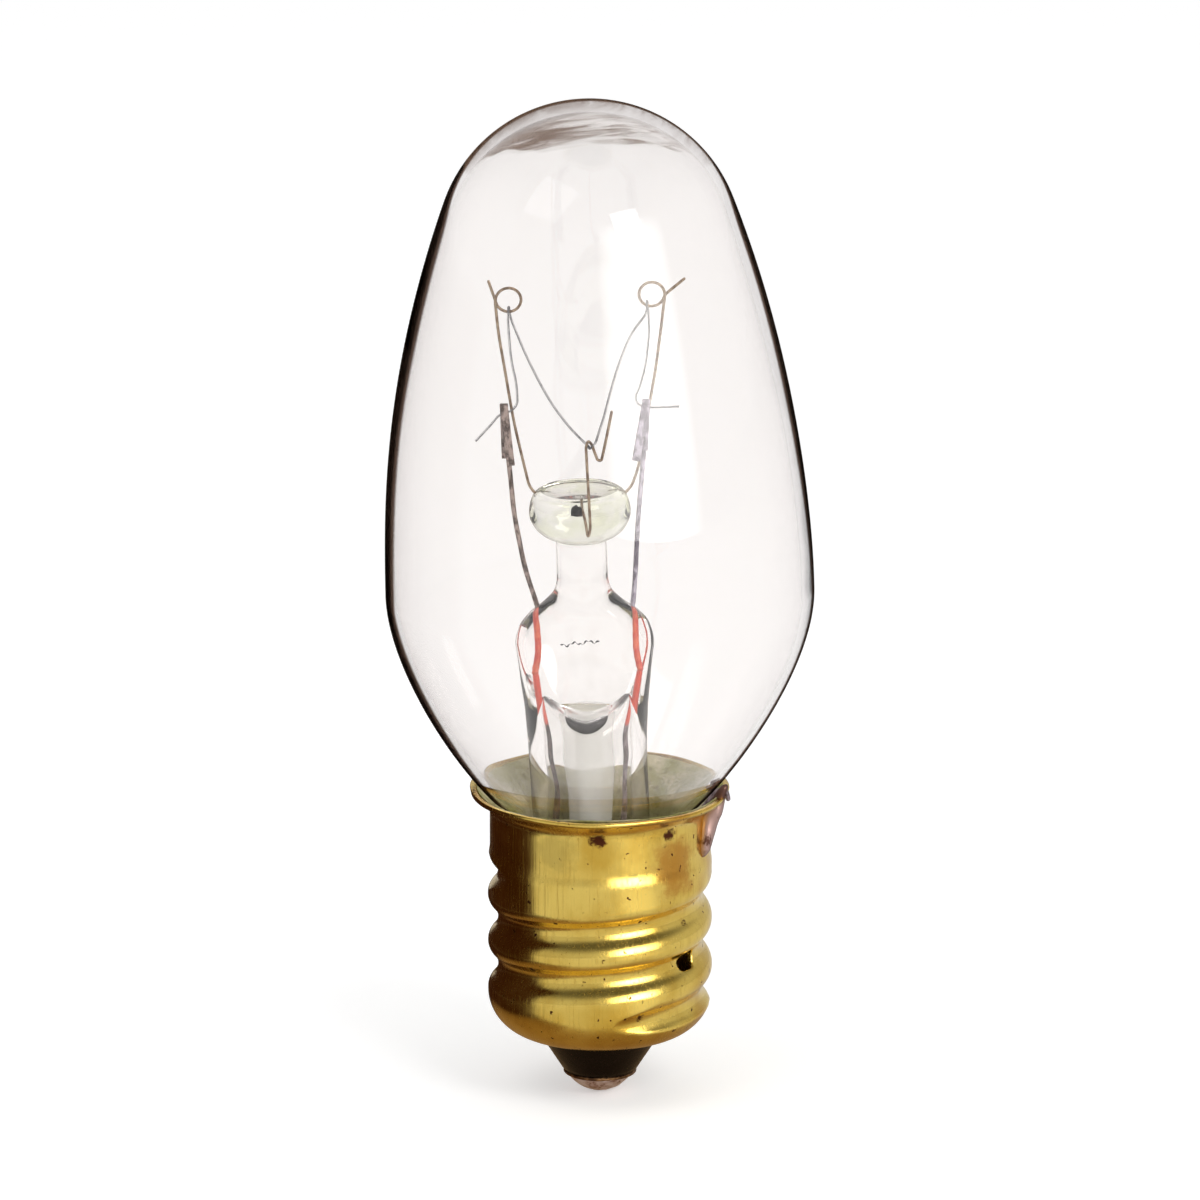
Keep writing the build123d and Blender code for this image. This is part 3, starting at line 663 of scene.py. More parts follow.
def build_envelope():
    """Both walls of the blown glass as one closed surface. The inner wall is the outer
    one moved square to itself by the wall, and is slightly uneven."""
    outside = glass_profile()
    outside[0, 0] = 0
    share = np.clip((outside[:, 1:] - EXTRA_FROM) / (GLASS_TOP - EXTRA_FROM), 0, 1)
    way = unit(np.gradient(outside, axis=0))
    square = np.stack([way[:, 1], -way[:, 0]], -1)
    inside = outside + square * (GLASS_WALL + CROWN_EXTRA * share**2)
    inside[0, 0] = 0
    inner = np.repeat([0.0, 1.0], len(outside))[:, None]

    def uneven(angle, radius, height):
        fade = np.clip((GLASS_TOP - 1.5 - height) / 8, 0, 1) * (radius > 1e-6)
        right = (0.5 + 0.5 * np.cos(angle)) ** 2 * np.clip((height - RIGHT_FROM) / 8, 0, 1)
        waves = 0.024 * ripple(angle, height, 4, 6, 0.5) + 0.006 * ripple(angle, height, 8, 6, 2.2)
        swell = inner * (waves - RIGHT_EXTRA * right)
        swell = swell + 0.03 * (1 - inner) * ripple(angle, height, 2, 4, 0.16)
        return radius + swell * fade, height

    profile = np.concatenate([outside, inside[::-1]])
    part = turned(profile, 176, poles=True, warp=uneven, mark=inner)
    points = leaned(part[0], GLASS_LEAN, GLASS_PIVOT)
    points[:, 0] += SWAY * np.exp(-(((points[:, 2] - SWAY_HEIGHT) / SWAY_SPREAD) ** 2))
    part = outward((points, *part[1:]))
    make_piece("glass_bulb", [part], envelope_glass(), ["glass_envelope"])


# Height, half width and half depth of the stem from the flare's rim to the rod, and of
# the bore from its mouth to its closed end
STEM_SECTIONS = [
    (10.0, 3.82, 3.82), (10.5, 3.62, 3.62), (11.1, 3.25, 3.25), (12.0, 3.08, 3.08),
    (17.0, 3.07, 3.07), (18.8, 3.07, 2.98), (20.6, 3.15, 2.35), (22.6, 3.42, 1.9),
    (24.3, 3.65, 1.75), (25.2, 3.42, 1.68), (25.9, 2.85, 1.55), (26.5, 2.05, 1.45),
    (27.1, 1.5, 1.42), (27.7, 1.34, 1.34), (28.4, ROD_RADIUS, ROD_RADIUS),
    (ROD_TOP, ROD_RADIUS, ROD_RADIUS),
]
BORE_SECTIONS = [
    (9.75, 3.3, 3.3), (10.3, 2.75, 2.75), (11.2, 2.2, 2.2), (12.0, 2.15, 2.15),
    (17.0, 2.15, 2.15), (19.4, 2.15, 1.6), (20.6, 2.12, 1.15), (21.4, 2.0, 0.8),
    (21.9, 1.7, 0.5), (22.1, 1.2, 0.3), (22.15, 0.0, 0.0),
]
BUTTON_BULGE = [
    (ROD_RADIUS, ROD_TOP), (1.42, 29.85), (1.85, 30.0), (2.32, 30.4), (2.62, 31.0),
    (2.62, 31.6), (2.4, 32.2), (BUTTON_FACE, BUTTON_TOP),
]


def stem_outline():
    """Half widths, half depths and heights of the stem's outside, from the flare's rim
    up over the press and the rod to the middle of the button's dished face."""
    heights = np.linspace(STEM_SECTIONS[0][0], ROD_TOP, 150)
    lower = np.column_stack([smooth_table(heights, STEM_SECTIONS), heights])
    r = np.linspace(BUTTON_FACE, 0, 26)[1:]
    dish = np.column_stack([r, BUTTON_TOP - BUTTON_DISH * (1 - (r / BUTTON_FACE) ** 2) ** 0.8])
    upper = np.concatenate([smooth_path(BUTTON_BULGE, 46)[1:], dish])
    return np.concatenate([lower, upper[:, [0, 0, 1]]])


def stem_body(columns=120):
    """The stem's outside and its bore as one closed surface: ellipses of the sections'
    half widths and depths. The bore dips between two horns, and its corners are marked for
    painted shade."""
    low, knee, high = BORE_SECTIONS[0][0], BORE_SECTIONS[6][0], BORE_SECTIONS[-1][0]
    heights = np.concatenate([np.linspace(low, knee, 70), np.linspace(knee, high, 30)[1:]])
    inside = np.column_stack([smooth_table(heights, BORE_SECTIONS), heights])
    section = np.concatenate([inside[::-1], stem_outline()])
    angle = np.linspace(0, 2 * pi, columns, endpoint=False)
    x = section[:, :1] * np.cos(angle)
    y = section[:, 1:2] * np.sin(angle)
    z = np.repeat(section[:, 2:], columns, 1)
    is_bore = (np.arange(len(section)) < len(inside))[:, None]
    dip = 1.7 * np.clip((z - 19.0) / 3.0, 0, 1) ** 2 * (1 - np.clip(np.abs(x) / 2.0, 0, 1) ** 2)
    # Painted shade in the bore's corners, kept in the mark.
    corner = np.clip((np.abs(x) - 1.15) / 0.35, 0, 1) * np.clip((z - 21.35) / 0.25, 0, 1)
    z = z - np.where(is_bore, dip, 0)
    uneven = 0.03 * ripple(angle[None], z, 21, 5, 1.1) * np.clip((28 - z) / 3, 0.15, 1)
    scale = 1 + np.where(is_bore, 0.0, uneven) * (x**2 + y**2 > 0.01)
    grid = on_stem(np.stack([x * scale, y * scale, z], -1))
    return outward(surface(grid, poles=True, mark=np.where(is_bore, corner * 0.75, 0.0)))


def build_stem():
    """Flare, press, rod and button as one glass, with painted shade in a crescent over the
    pumping tube and along a crease across the press, both as bubbles in the glass."""
    lip = bent([(-1.1, -1.75, 20.85), (-0.7, -1.95, 20.45), (0, -2.05, 20.22), (0.6, -1.95, 20.45),
                (1.05, -1.75, 20.8)], 0.05)
    thick = lambda share, turn: 0.18 + 0.82 * np.sin(pi * np.clip(share, 0, 1)) ** 0.7 + 0 * turn
    # Painted shade of the crescent over the pumping tube, kept in the mark.
    shade = 0.72 + 0.28 * np.cos(np.linspace(0, 2 * pi, 24, endpoint=False))[None]
    crescent = outward(tube(on_stem(lip), 0.33, 24, thick, mark=shade), inward=True)
    # Painted shade along the crease across the press, kept in the mark.
    x = np.linspace(-1.2, 0.75, 60)
    rise = 24.35 + 0.10 * (x + 1.2) + 0.07 * np.sin(x * 9) + 0.04 * np.sin(x * 23)
    crease = on_stem(np.column_stack([x, np.full(60, -0.5), rise]))
    wavy = lambda share, turn: 0.6 + 0.4 * np.sin(share * 40 + 1) + 0 * turn
    squiggle = outward(tube(crease, 0.045, 8, wavy, mark=0.9), inward=True)
    parts = [stem_body(), crescent, squiggle]
    make_piece("stem_glass", parts, stem_glass(), ["stem_flare", "button_rod"])


def build_exhaust_tube():
    """Pumping tube: a turned outline with its bore, drawn to a tip inside the cap."""
    tip = [(TUBE_RADIUS, 9.2), (1.05, 8.5), (0.7, 7.8), (0.35, 7.35), (0.0, 7.2)]
    outer = np.concatenate([
        [[0.0, 20.9]],
        arc((TUBE_RADIUS - 0.5, 20.4), 0.5, 90, 0, 8),
        line((TUBE_RADIUS, 20.3), (TUBE_RADIUS, 9.2), 40),
        smooth_path(tip, 20),
    ])
    outer[-1, 0] = 0
    foot = [(0.12, 8.32), (0.45, 8.7), (TUBE_BORE, 9.4), (TUBE_BORE, 10.2)]
    inner = np.concatenate([
        [[0.0, 8.3]],
        smooth_path(foot, 12),
        line((TUBE_BORE, 10.3), (TUBE_BORE, 19.9), 40),
        arc((TUBE_BORE - 0.3, 19.95), 0.3, 0, 90, 6),
        [[0.0, 20.25]],
    ])
    glass = bpy.data.materials["stem_glass"]
    parts = []
    for outline, inward in ((outer, False), (inner, True)):
        wall = turned(outline, 64, poles=True)
        parts.append(outward((on_stem(wall[0]), *wall[1:]), inward))
    make_piece("pumping_tube", parts, glass, ["exhaust_tube"])


# Cap, cement and tip


def cap_profile():
    """Outside of the cap from its mouth to the curled edge of the lip, as (radius,
    height)."""
    shoulder = (CREST_RADIUS - SHOULDER_ROUND, CAP_FLOOR + SHOULDER_ROUND)
    bend_centre = (COLLAR_RADIUS + LIP_BEND, LIP_START)
    bend = arc(bend_centre, LIP_BEND, 180, 180 - LIP_ANGLE, 12)
    way = np.array([sin(radians(LIP_ANGLE)), cos(radians(LIP_ANGLE))])
    end = bend[-1] + way * (LIP_RADIUS - bend[-1, 0]) / way[0]
    out = np.array([way[1], -way[0]])
    hem_angle = np.degrees(np.arctan2(-out[1], -out[0]))
    return np.concatenate([
        line((CAP_MOUTH, CAP_FLOOR), (shoulder[0], CAP_FLOOR), 2),
        arc(shoulder, SHOULDER_ROUND, -90, 0, 26),
        line((CREST_RADIUS, shoulder[1]), (CREST_RADIUS, THREAD_TOP), 96)[1:],
        eased((CREST_RADIUS, THREAD_TOP), (COLLAR_RADIUS, COLLAR_BOTTOM), 12),
        line((COLLAR_RADIUS, COLLAR_BOTTOM), (COLLAR_RADIUS, LIP_START), 14),
        bend,
        arc(end + out * HEM_ROUND, HEM_ROUND, hem_angle, hem_angle - HEM_SWEEP, 7),
    ])


def thread_radius(angle, height):
    """Radius of the rolled thread at each angle (degrees) and height: the lowest of the
    grooves that pass there. A groove is a round root between two crest rounds, and
    smoothly runs out of the wall at each end of its helix."""
    rounds = (THREAD_DEPTH**2 + (PITCH / 2) ** 2) / (2 * THREAD_DEPTH)
    crest_round = rounds - ROOT_ROUND
    crest_centre = CREST_RADIUS - crest_round + (CREST_LAND / 2) ** 2 / (2 * crest_round)
    root_centre = crest_centre + rounds - THREAD_DEPTH
    flank = PITCH / 2 * ROOT_ROUND / rounds
    lowest = np.full(np.broadcast(angle, height).shape, 99.0)
    for turn in range(-1, 4):
        along = angle + 360.0 * turn
        share = (along - GROOVE_START) / 360.0
        middle = CREST_HEIGHT + PITCH / 2 + PITCH * along / 360.0
        away = np.abs(height - middle)
        root = root_centre - np.sqrt(np.clip(ROOT_ROUND**2 - away**2, 0, None))
        side = np.clip(crest_round**2 - (PITCH / 2 - away) ** 2, 0, None)
        groove = np.where(away < flank, root, crest_centre + np.sqrt(side))
        near_end = np.minimum(share, GROOVE_TURNS - share)
        fade = np.clip(1 - near_end / GROOVE_FADE, 0, 1)
        groove = groove + (THREAD_DEPTH + ROOT_ROUND) * fade**2 * (3 - 2 * fade)
        there = (share > 0) & (share < GROOVE_TURNS) & (away < PITCH / 2)
        lowest = np.where(there, np.minimum(lowest, groove), lowest)
    return lowest


def torn_hole(radius, angle, height):
    """Points near the vent hole pushed out to its ragged oval edge. Gives the angles,
    the heights and which points were inside it."""
    turn = radians(HOLE_DIRECTION)
    across = radius * np.sin(angle - turn)
    rise = height - HOLE_HEIGHT
    bearing = np.arctan2(rise / HOLE_HALF_RISE, across / HOLE_HALF_WIDTH)
    edge = 1 + 0.28 * np.exp(-((bearing - 0.9) ** 2) / 0.12) + 0.05 * np.sin(5 * bearing)
    reach = np.hypot(across / HOLE_HALF_WIDTH, rise / HOLE_HALF_RISE) / edge
    inside = (np.cos(angle - turn) > 0) & (reach < 1)
    push = np.where(inside, 1 / np.maximum(reach, 1e-3), 1.0)
    pushed = turn + np.arcsin(np.clip(across * push / radius, -1, 1))
    angle = np.where(inside, pushed, angle)
    return angle, np.where(inside, HOLE_HEIGHT + rise * push, height), inside


def build_cap():
    """Brass cap: the thread rolled into a turned outline, dented a little, with the vent
    hole cut out and the wall given its thickness by Solidify."""
    profile = cap_profile()
    angle = np.linspace(-pi, pi, 264, endpoint=False)[None]
    plain, height = profile[:, :1], profile[:, 1:]
    radius = np.minimum(plain, thread_radius(np.degrees(angle), height))
    threaded = (height > CAP_FLOOR + 0.3) & (height < COLLAR_BOTTOM + 0.3)
    radius = np.where(threaded, radius, plain)
    dents = 0.02 * ripple(angle, height, 11, 6, 0.8) + 0.008 * ripple(angle, height, 12, 6, 3.0)
    radius = radius + dents * (plain > CAP_MOUTH + 0.5)
    lip = np.clip((height - LIP_START) / 1.2, 0, 1) * (plain > COLLAR_RADIUS)
    radius = radius + lip * 0.05 * ripple(angle, 0 * height, 14, 4, 1.0)
    height = height + lip * 0.06 * ripple(angle, 0 * height, 15, 4, 1.0)
    angle, height, inside = torn_hole(radius, angle, height)
    points, quads, triangles, marks = surface(wheel(radius, angle, height))
    kept = ~inside.reshape(-1)[quads].all(1)
    part = (points, quads[kept], triangles, marks)
    piece = make_piece("brass_cap", [part], cap_brass(), ["screw_shell"])
    wall = piece.modifiers.new("wall", "SOLIDIFY")
    wall.thickness = CAP_WALL * MM
    wall.offset = -1.0
    wall.use_even_offset = False


def build_cement():
    """Ring of cement between the neck and the collar, with an uneven top that wets the
    glass and the lip."""
    foot = SEAT_HEIGHT - (SEAT_RADIUS - NECK_RADIUS) / tan(radians(SEAT_ANGLE))
    against_glass = NECK_RADIUS + 0.02
    glass_side = [
        (against_glass, 10.4), (against_glass, 12.4), (against_glass, foot - 0.3),
        (against_glass + 0.12, foot + 0.08), (4.95, foot + 0.5), (5.35, foot + 0.92),
    ]
    top = [(5.6, foot + 1.16), (5.76, foot + 1.3), (5.95, foot + 1.42), (6.15, foot + 1.57),
           (6.32, foot + 1.71), (6.38, foot + 1.7)]
    shell_side = [(6.05, 15.95), (5.72, 15.6), (5.5, 15.2), (5.42, 14.0), (5.4, 13.0),
                  (4.98, 12.6), (4.98, 10.4)]
    corners = np.array(glass_side + top + shell_side)
    profile = np.concatenate([line(a, b, 5) for a, b in zip(corners, np.roll(corners, -1, 0))])

    def uneven(angle, radius, height):
        waves = 0.22 * ripple(angle, 4 * radius, 31, 7, 1.0)
        waves += 0.05 * np.sin(17 * angle + 5 * radius) * np.sin(9 * angle)
        high = np.clip((height - foot - 0.8) / 0.3, 0, 1)
        return radius, height + high * np.minimum(waves * 0.6, 0.05)

    part = outward(turned(profile, 144, ring=True, warp=uneven))
    make_piece("cap_cement", [part], dull_cement(), ["base_cement"])


def build_insulator():
    """Black insulator: a turned cone under the cap with a seat inside it, slightly
    uneven where it was moulded."""
    top = TIP_HEIGHT + INSULATOR_THICKNESS
    waist, seat = CAP_MOUTH - 0.04, CAP_FLOOR + CAP_WALL + 0.02
    rounding = 0.2
    cone = np.concatenate([
        line((EYELET_RADIUS, TIP_HEIGHT), (TIP_RADIUS - 0.22, TIP_HEIGHT), 8),
        arc((TIP_RADIUS - 0.22, TIP_HEIGHT + rounding), rounding, -90, -20, 6),
        line((TIP_RADIUS, TIP_HEIGHT + 0.16), (waist, CAP_FLOOR), 16),
        line((waist, CAP_FLOOR), (waist, seat), 4),
        line((CAP_MOUTH, seat), (3.75, seat + 0.02), 6),
        line((3.75, seat + 0.02), (3.5, top + 0.25), 5),
        line((3.5, top + 0.25), (EYELET_RADIUS, top + 0.3), 10),
        line((EYELET_RADIUS, top + 0.3), (EYELET_RADIUS, TIP_HEIGHT), 8),
    ])

    def uneven(angle, radius, height):
        return radius + 0.025 * ripple(angle, height, 41, 6, 2.0) * (height < CAP_FLOOR), height

    part = outward(turned(cone, 96, ring=True, warp=uneven))
    make_piece("insulator_cone", [part], black_insulator(), ["insulator"], sharp=40)


def build_tip_solder():
    """Solder dome: a round cap with a lumpy skin and a soft edge against the eyelet."""
    dome_round = (DOME_RADIUS**2 + DOME_HEIGHT**2) / (2 * DOME_HEIGHT)
    sweep = np.degrees(np.arcsin(DOME_RADIUS / dome_round))
    dome = arc((0, dome_round), dome_round, -90, -90 + sweep * 0.94, 34)
    edge = np.array([(DOME_RADIUS - 0.02, DOME_HEIGHT - 0.06), (DOME_RADIUS - 0.08, DOME_HEIGHT)])
    top = line((DOME_RADIUS - 0.1, DOME_HEIGHT), (0, DOME_HEIGHT), 12)[1:]
    profile = np.concatenate([dome, edge, top, [[0, DOME_HEIGHT]]])
    profile[0] = 0

    def lumpy(angle, radius, height):
        lumps = ripple(angle, 4 * radius, 51, 7, 0.9)
        outer = np.clip(radius / 0.6, 0, 1)
        height = height + 0.05 * np.abs(lumps) * outer * (height < DOME_HEIGHT - 0.05)
        return radius * (1 + 0.03 * lumps * outer), height

    part = outward(turned(profile, 96, poles=True, warp=lumpy))
    make_piece("tip_solder", [part], solder_metal(), ["centre_solder"])


def at_solder(radius, height, aside=0.0):
    """A point in the upright plane of the side solder, or aside from it."""
    way = radians(SOLDER_DIRECTION)
    return radius * cos(way) - aside * sin(way), radius * sin(way) + aside * cos(way), height


def build_side_solder():
    """Solder run over the lip: a lumpy drop from the collar to a small horn above it."""
    route = bent([
        at_solder(5.66, 13.2, -0.5), at_solder(5.82, 13.9, -0.45), at_solder(5.9, 14.7, -0.3),
        at_solder(6.08, 15.5, -0.1), at_solder(6.35, 16.2), at_solder(6.6, 16.75, -0.06),
        at_solder(6.85, 17.12, -0.14),
    ], 0.05)
    shares, widths = [0, 0.12, 0.35, 0.6, 0.78, 0.9, 1.0], [0.3, 0.75, 0.9, 1.0, 0.8, 0.62, 0.55]

    def swell(share, angle):
        lumps = 0.09 * np.sin(2 * angle + 9 * share) + 0.05 * np.sin(angle - 15 * share + 1)
        return np.interp(share, shares, widths) * (1 + lumps)

    part = tube(route, SOLDER_RADIUS, 40, swell)
    make_piece("lip_solder", [part], burnt_solder(), ["side_solder"])


# Wires, with their corners as (across, depth, height) on the upright stem

FOLD_DEPTH = LEAD_RADIUS + 0.14 + CLAMP_THICKNESS / 2
FOLD_TOP = 37.08
LEADS = {
    "left": {
        "foot": -2.36,
        "sway": 0.12,
        "lead": [(-2.36, 0, 26.05), (-3.07, 0, 28.71), (-3.42, 0, 30.97), (-3.56, 0, 33.51),
                 (-3.73, 0, 36.75)],
        "fold": [(-3.73, 0, 34.2), (-3.73, 0, FOLD_TOP), (-3.73, -FOLD_DEPTH, FOLD_TOP),
                 (-3.48, -FOLD_DEPTH, 33.9)],
    },
    "right": {
        "foot": 2.57,
        "sway": -0.1,
        "lead": [(2.57, 0, 26.05), (2.71, 0, 27.15), (3.03, 0, 31.05), (3.40, 0, 34.05),
                 (3.62, 0, 36.75)],
        "fold": [(3.42, 0, 34.4), (3.62, 0, FOLD_TOP), (3.62, -FOLD_DEPTH, FOLD_TOP),
                 (3.0, -FOLD_DEPTH, 33.95)],
    },
}


def uneven_wire(share, angle):
    """Swell of a drawn wire: faint waves along and round it."""
    return 1 + 0.03 * np.sin(37 * share) + 0.012 * np.sin(angle + 9 * share)


def rough_wire(share, angle):
    """Swell of a rough wire: stronger waves along and round it."""
    return 1 + 0.1 * np.sin(19 * share + angle) + 0.07 * np.sin(43 * share)


def build_leads():
    """Inner leads with a flattened end folded over the coil, and the red seal wires with
    their weld knots."""
    metals = {
        "left": wire_metal("lead_dark", (0.07, 0.045, 0.035), (0.36, 0.28, 0.25), 0.45, 0.7),
        "right": wire_metal("lead_bright", (0.13, 0.11, 0.14), (0.44, 0.4, 0.47), 0.45, 0.4),
    }
    red = wire_metal("seal_red", (0.72, 0.06, 0.03), (0.85, 0.16, 0.07), 0.5, 0.0)
    for name, wire in LEADS.items():
        foot, bowed = wire["foot"], wire["foot"] + wire["sway"]
        lead = tube(on_stem(bent(wire["lead"], 0.08)), LEAD_RADIUS, 14, uneven_wire)
        fold = on_stem(bent(wire["fold"], 0.06))
        parts = [lead, strip(fold, CLAMP_WIDTH, CLAMP_THICKNESS, np.array([1.0, 0, 0]))]
        make_piece(f"lead_wire_{name}", parts, metals[name], [f"inner_lead_{name}"])
        seal = bent([(foot, 0, WELD_HEIGHT), (bowed, 0, 23.7), (bowed, 0, 25.0), (foot, 0, 26.08)], 0.08)
        knot = bent([(foot - 0.14, 0, WELD_HEIGHT + 0.02), (foot, 0, WELD_HEIGHT),
                     (foot + 0.16, 0, WELD_HEIGHT - 0.03)], 0.04)
        parts = [tube(on_stem(seal), SEAL_WIRE_RADIUS, 14, uneven_wire)]
        parts.append(tube(on_stem(knot), KNOT_RADIUS, 14, rough_wire))
        make_piece(f"seal_wire_{name}", parts, red, [f"dumet_{name}"])


def build_tails():
    """Copper tails: the left one down to the tip, the right one up over the lip."""
    # The left tail is a darker copy of the same copper wire: painted shade, as it runs down inside the
    # flare tube in shade.
    dark = tail_metal("tail_shaded", (0.03, 0.014, 0.013), (0.1, 0.05, 0.045))
    pale = tail_metal("tail_pale", (0.09, 0.06, 0.065), (0.3, 0.23, 0.25))
    left = on_stem([(-2.36, 0, WELD_HEIGHT), (-1.95, 0, 20.4), (-1.78, 0, 17.0), (-1.78, 0, 6.8)])
    right = on_stem([(2.57, 0, WELD_HEIGHT), (1.95, 0, 20.4), (1.75, 0, 17.0), (1.75, 0, 10.3)])
    to_tip = [[0, 0, 4.26], [0, 0, 0.76]]
    over_lip = [
        at_solder(3.12, 8.5), at_solder(4.72, 8.7), at_solder(4.72, 13.6), at_solder(5.15, 15.1),
        at_solder(5.76, 16.0), at_solder(6.35, 16.75), at_solder(6.75, 16.8), at_solder(6.9, 16.2),
    ]
    for name, route, end, metal in (("left", left, to_tip, dark), ("right", right, over_lip, pale)):
        part = tube(bent(np.concatenate([route, end]), 0.1), TAIL_RADIUS, 12, rough_wire)
        make_piece(f"tail_wire_{name}", [part], metal, [f"outer_lead_{name}"])


EYE_LEFT, EYE_RIGHT = (-3.35, 42.5), (4.04, 42.53)
SWEEP_LEFT, SWEEP_RIGHT = (185, -176), (-20, 352)


def eye(centre, sweep, tail):
    """Points of a round eye that steps back by its pitch as it goes round, then its tail."""
    share = np.linspace(0, 1, 15)
    angle = np.radians(sweep[0] + (sweep[1] - sweep[0]) * share)
    points = np.column_stack([
        centre[0] + EYE_RADIUS * np.cos(angle),
        EYE_DEPTH + EYE_PITCH * (share - 0.5),
        centre[1] + EYE_RADIUS * np.sin(angle),
    ])
    return points.tolist() + [(tail[0], EYE_DEPTH + EYE_PITCH / 2, tail[1])]


def burnt_bead():
    """Lumpy bead of burnt glass where the middle support leaves the button."""
    bead = bent([(-0.4, -2.42, 32.06), (-0.1, -2.58, 31.93), (0.2, -2.5, 31.98)], 0.03)
    lumpy = lambda share, angle: 1 + 0.22 * np.sin(2 * angle + 9 * share) + 0.15 * np.sin(12 * share)
    return tube(on_stem(bead), 0.29, 20, lumpy, mark=1.0)


def build_supports():
    """Support wires: two end in an open eye, and the third in a hook."""
    wire = wire_metal("support_wire", (0.16, 0.1, 0.06), (0.34, 0.26, 0.18), 0.35, 0.9)
    left = [(-1.5, 0.1, 32.0), (-2.2, 0.15, 32.12), (-2.6, 0.25, 32.6), (-2.89, 0.4, 34.11),
            (-3.26, 0.45, 35.92), (-3.55, 0.4, 38.18), (-3.88, 0.25, 40.61)]
    right = [(1.5, 0.1, 31.95), (2.25, 0.15, 32.02), (2.74, 0.25, 32.45), (3.12, 0.45, 33.4),
             (3.85, 0.5, 37.07), (4.13, 0.4, 38.56), (4.45, 0.25, 40.79)]
    middle = [(0.1, -1.2, 32.0), (0.14, -2.6, 32.1), (0.3, -3.55, 31.7), (0.4, -4.15, 30.95),
              (0.55, -4.3, 31.5), (0.5, -3.85, 33.8), (0.45, -3.5, 35.6), (0.57, -3.45, 35.93),
              (0.74, -3.4, 35.75), (1.02, -3.3, 34.85), (1.22, -3.27, 34.8), (1.5, -3.2, 35.9),
              (1.85, -3.1, 37.4)]
    left = left + eye(EYE_LEFT, SWEEP_LEFT, (-4.34, 43.54))
    right = right + eye(EYE_RIGHT, SWEEP_RIGHT, (5.77, 43.3))
    for name, path, more in (("left", left, []), ("right", right, []), ("middle", middle, [burnt_bead()])):
        parts = [tube(on_stem(bent(path, 0.05)), SUPPORT_RADIUS, 10), *more]
        make_piece(f"support_wire_{name}", parts, wire, [f"support_{name}"])


def over_eye(centre, sweep):
    """Four corners of the turn that the coil takes over the lowest point of an eye."""
    first, last = sweep
    lowest = -90 if last < first else 248
    hang, spread = 0.205, 0.05
    y = EYE_DEPTH + EYE_PITCH * ((lowest - first) / (last - first) - 0.5)
    x = centre[0] + EYE_RADIUS * cos(radians(lowest))
    z = centre[1] + EYE_RADIUS * sin(radians(lowest))
    return [
        (x - spread, y - 1.5 * hang, z - 1.6 * hang),
        (x, y - hang, z + 1.15 * hang),
        (x, y + hang, z + 1.15 * hang),
        (x + spread, y + 1.5 * hang, z - 1.6 * hang),
    ]


def build_filament():
    """Coiled wire: a helix of even pitch carried along the zigzag from clamp to clamp."""
    clamped = -LEAD_RADIUS - 0.07
    zigzag = [
        (-5.25, clamped - 0.1, 35.23), (-4.4, clamped - 0.05, 36.1), (-3.95, clamped, 36.62),
        (-3.35, clamped, 36.75), (-3.03, clamped + 0.03, 37.12), (-3.05, clamped + 0.1, 38.17),
        (-3.3, clamped + 0.2, 39.39), *over_eye(EYE_LEFT, SWEEP_LEFT), (-2.57, -0.1, 39.76),
        (-1.89, -0.95, 38.48), (-1.21, -1.7, 37.39), (-0.35, -2.43, 36.36), (0.3, -3.0, 35.8),
        (0.6, -3.2, 35.55), (0.64, -3.7, 35.55), (0.95, -3.55, 35.8), (1.14, -3.15, 36.27),
        (1.42, -2.8, 36.95), (1.77, -2.3, 38.07), (2.28, -1.7, 39.5), (2.98, -0.9, 40.9),
        *over_eye(EYE_RIGHT, SWEEP_RIGHT), (3.87, 0.4, 40.65), (3.64, 0.1, 38.85),
        (3.31, clamped + 0.05, 37.8), (3.04, clamped, 37.3), (3.2, clamped, 36.85),
        (3.9, clamped, 36.7), (5.26, clamped - 0.1, 36.74),
    ]
    route = on_stem(bent(zigzag, 0.02))
    lengths = length_along(route)
    points_a_turn = 10
    at = np.linspace(0, lengths[-1], int(lengths[-1] / COIL_PITCH * points_a_turn))
    middle, side, up = (read_off(at, lengths, way) for way in (route, *carried_frame(route)))
    phase = (2 * pi * at / COIL_PITCH)[:, None]
    helix = middle + COIL_RADIUS * (np.cos(phase) * side + np.sin(phase) * up)
    tungsten = wire_metal("tungsten_coil", (0.12, 0.12, 0.13), (0.3, 0.29, 0.3), 0.4, 0.9)
    make_piece("coiled_filament", [tube(helix, COIL_WIRE, 5)], tungsten, ["filament"])


def dress_eyelet():
    """The eyelet keeps its CAD mesh and takes a plain brass finish."""
    metal = wire_metal("eyelet_brass", (0.1, 0.05, 0.025), (0.3, 0.17, 0.08), 0.45, 1.0)
    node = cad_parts["contact_eyelet"]
    node.data.materials.clear()
    node.data.materials.append(metal)


# Studio


def card(name, centre, across, up, steps, material, power):
    """A flat card on the stage, marked with (1 - |u|^power)(1 - |v|^power), where u and v
    run from -1 to 1 across and up it."""
    u = np.linspace(-1, 1, steps)[None, :, None]
    v = np.linspace(-1, 1, steps)[:, None, None]
    grid = np.asarray(centre, float) + u * np.asarray(across, float) + v * np.asarray(up, float)
    fade = ((1 - np.abs(u) ** power) * (1 - np.abs(v) ** power)).reshape(-1)
    index = np.arange(steps**2).reshape(steps, steps)
    faces = np.stack([index[:-1, :-1], index[:-1, 1:], index[1:, 1:], index[1:, :-1]], -1)
    made = mesh_object(name, grid.reshape(-1, 3), faces.reshape(-1, 4).tolist(), fade, material)
    return made


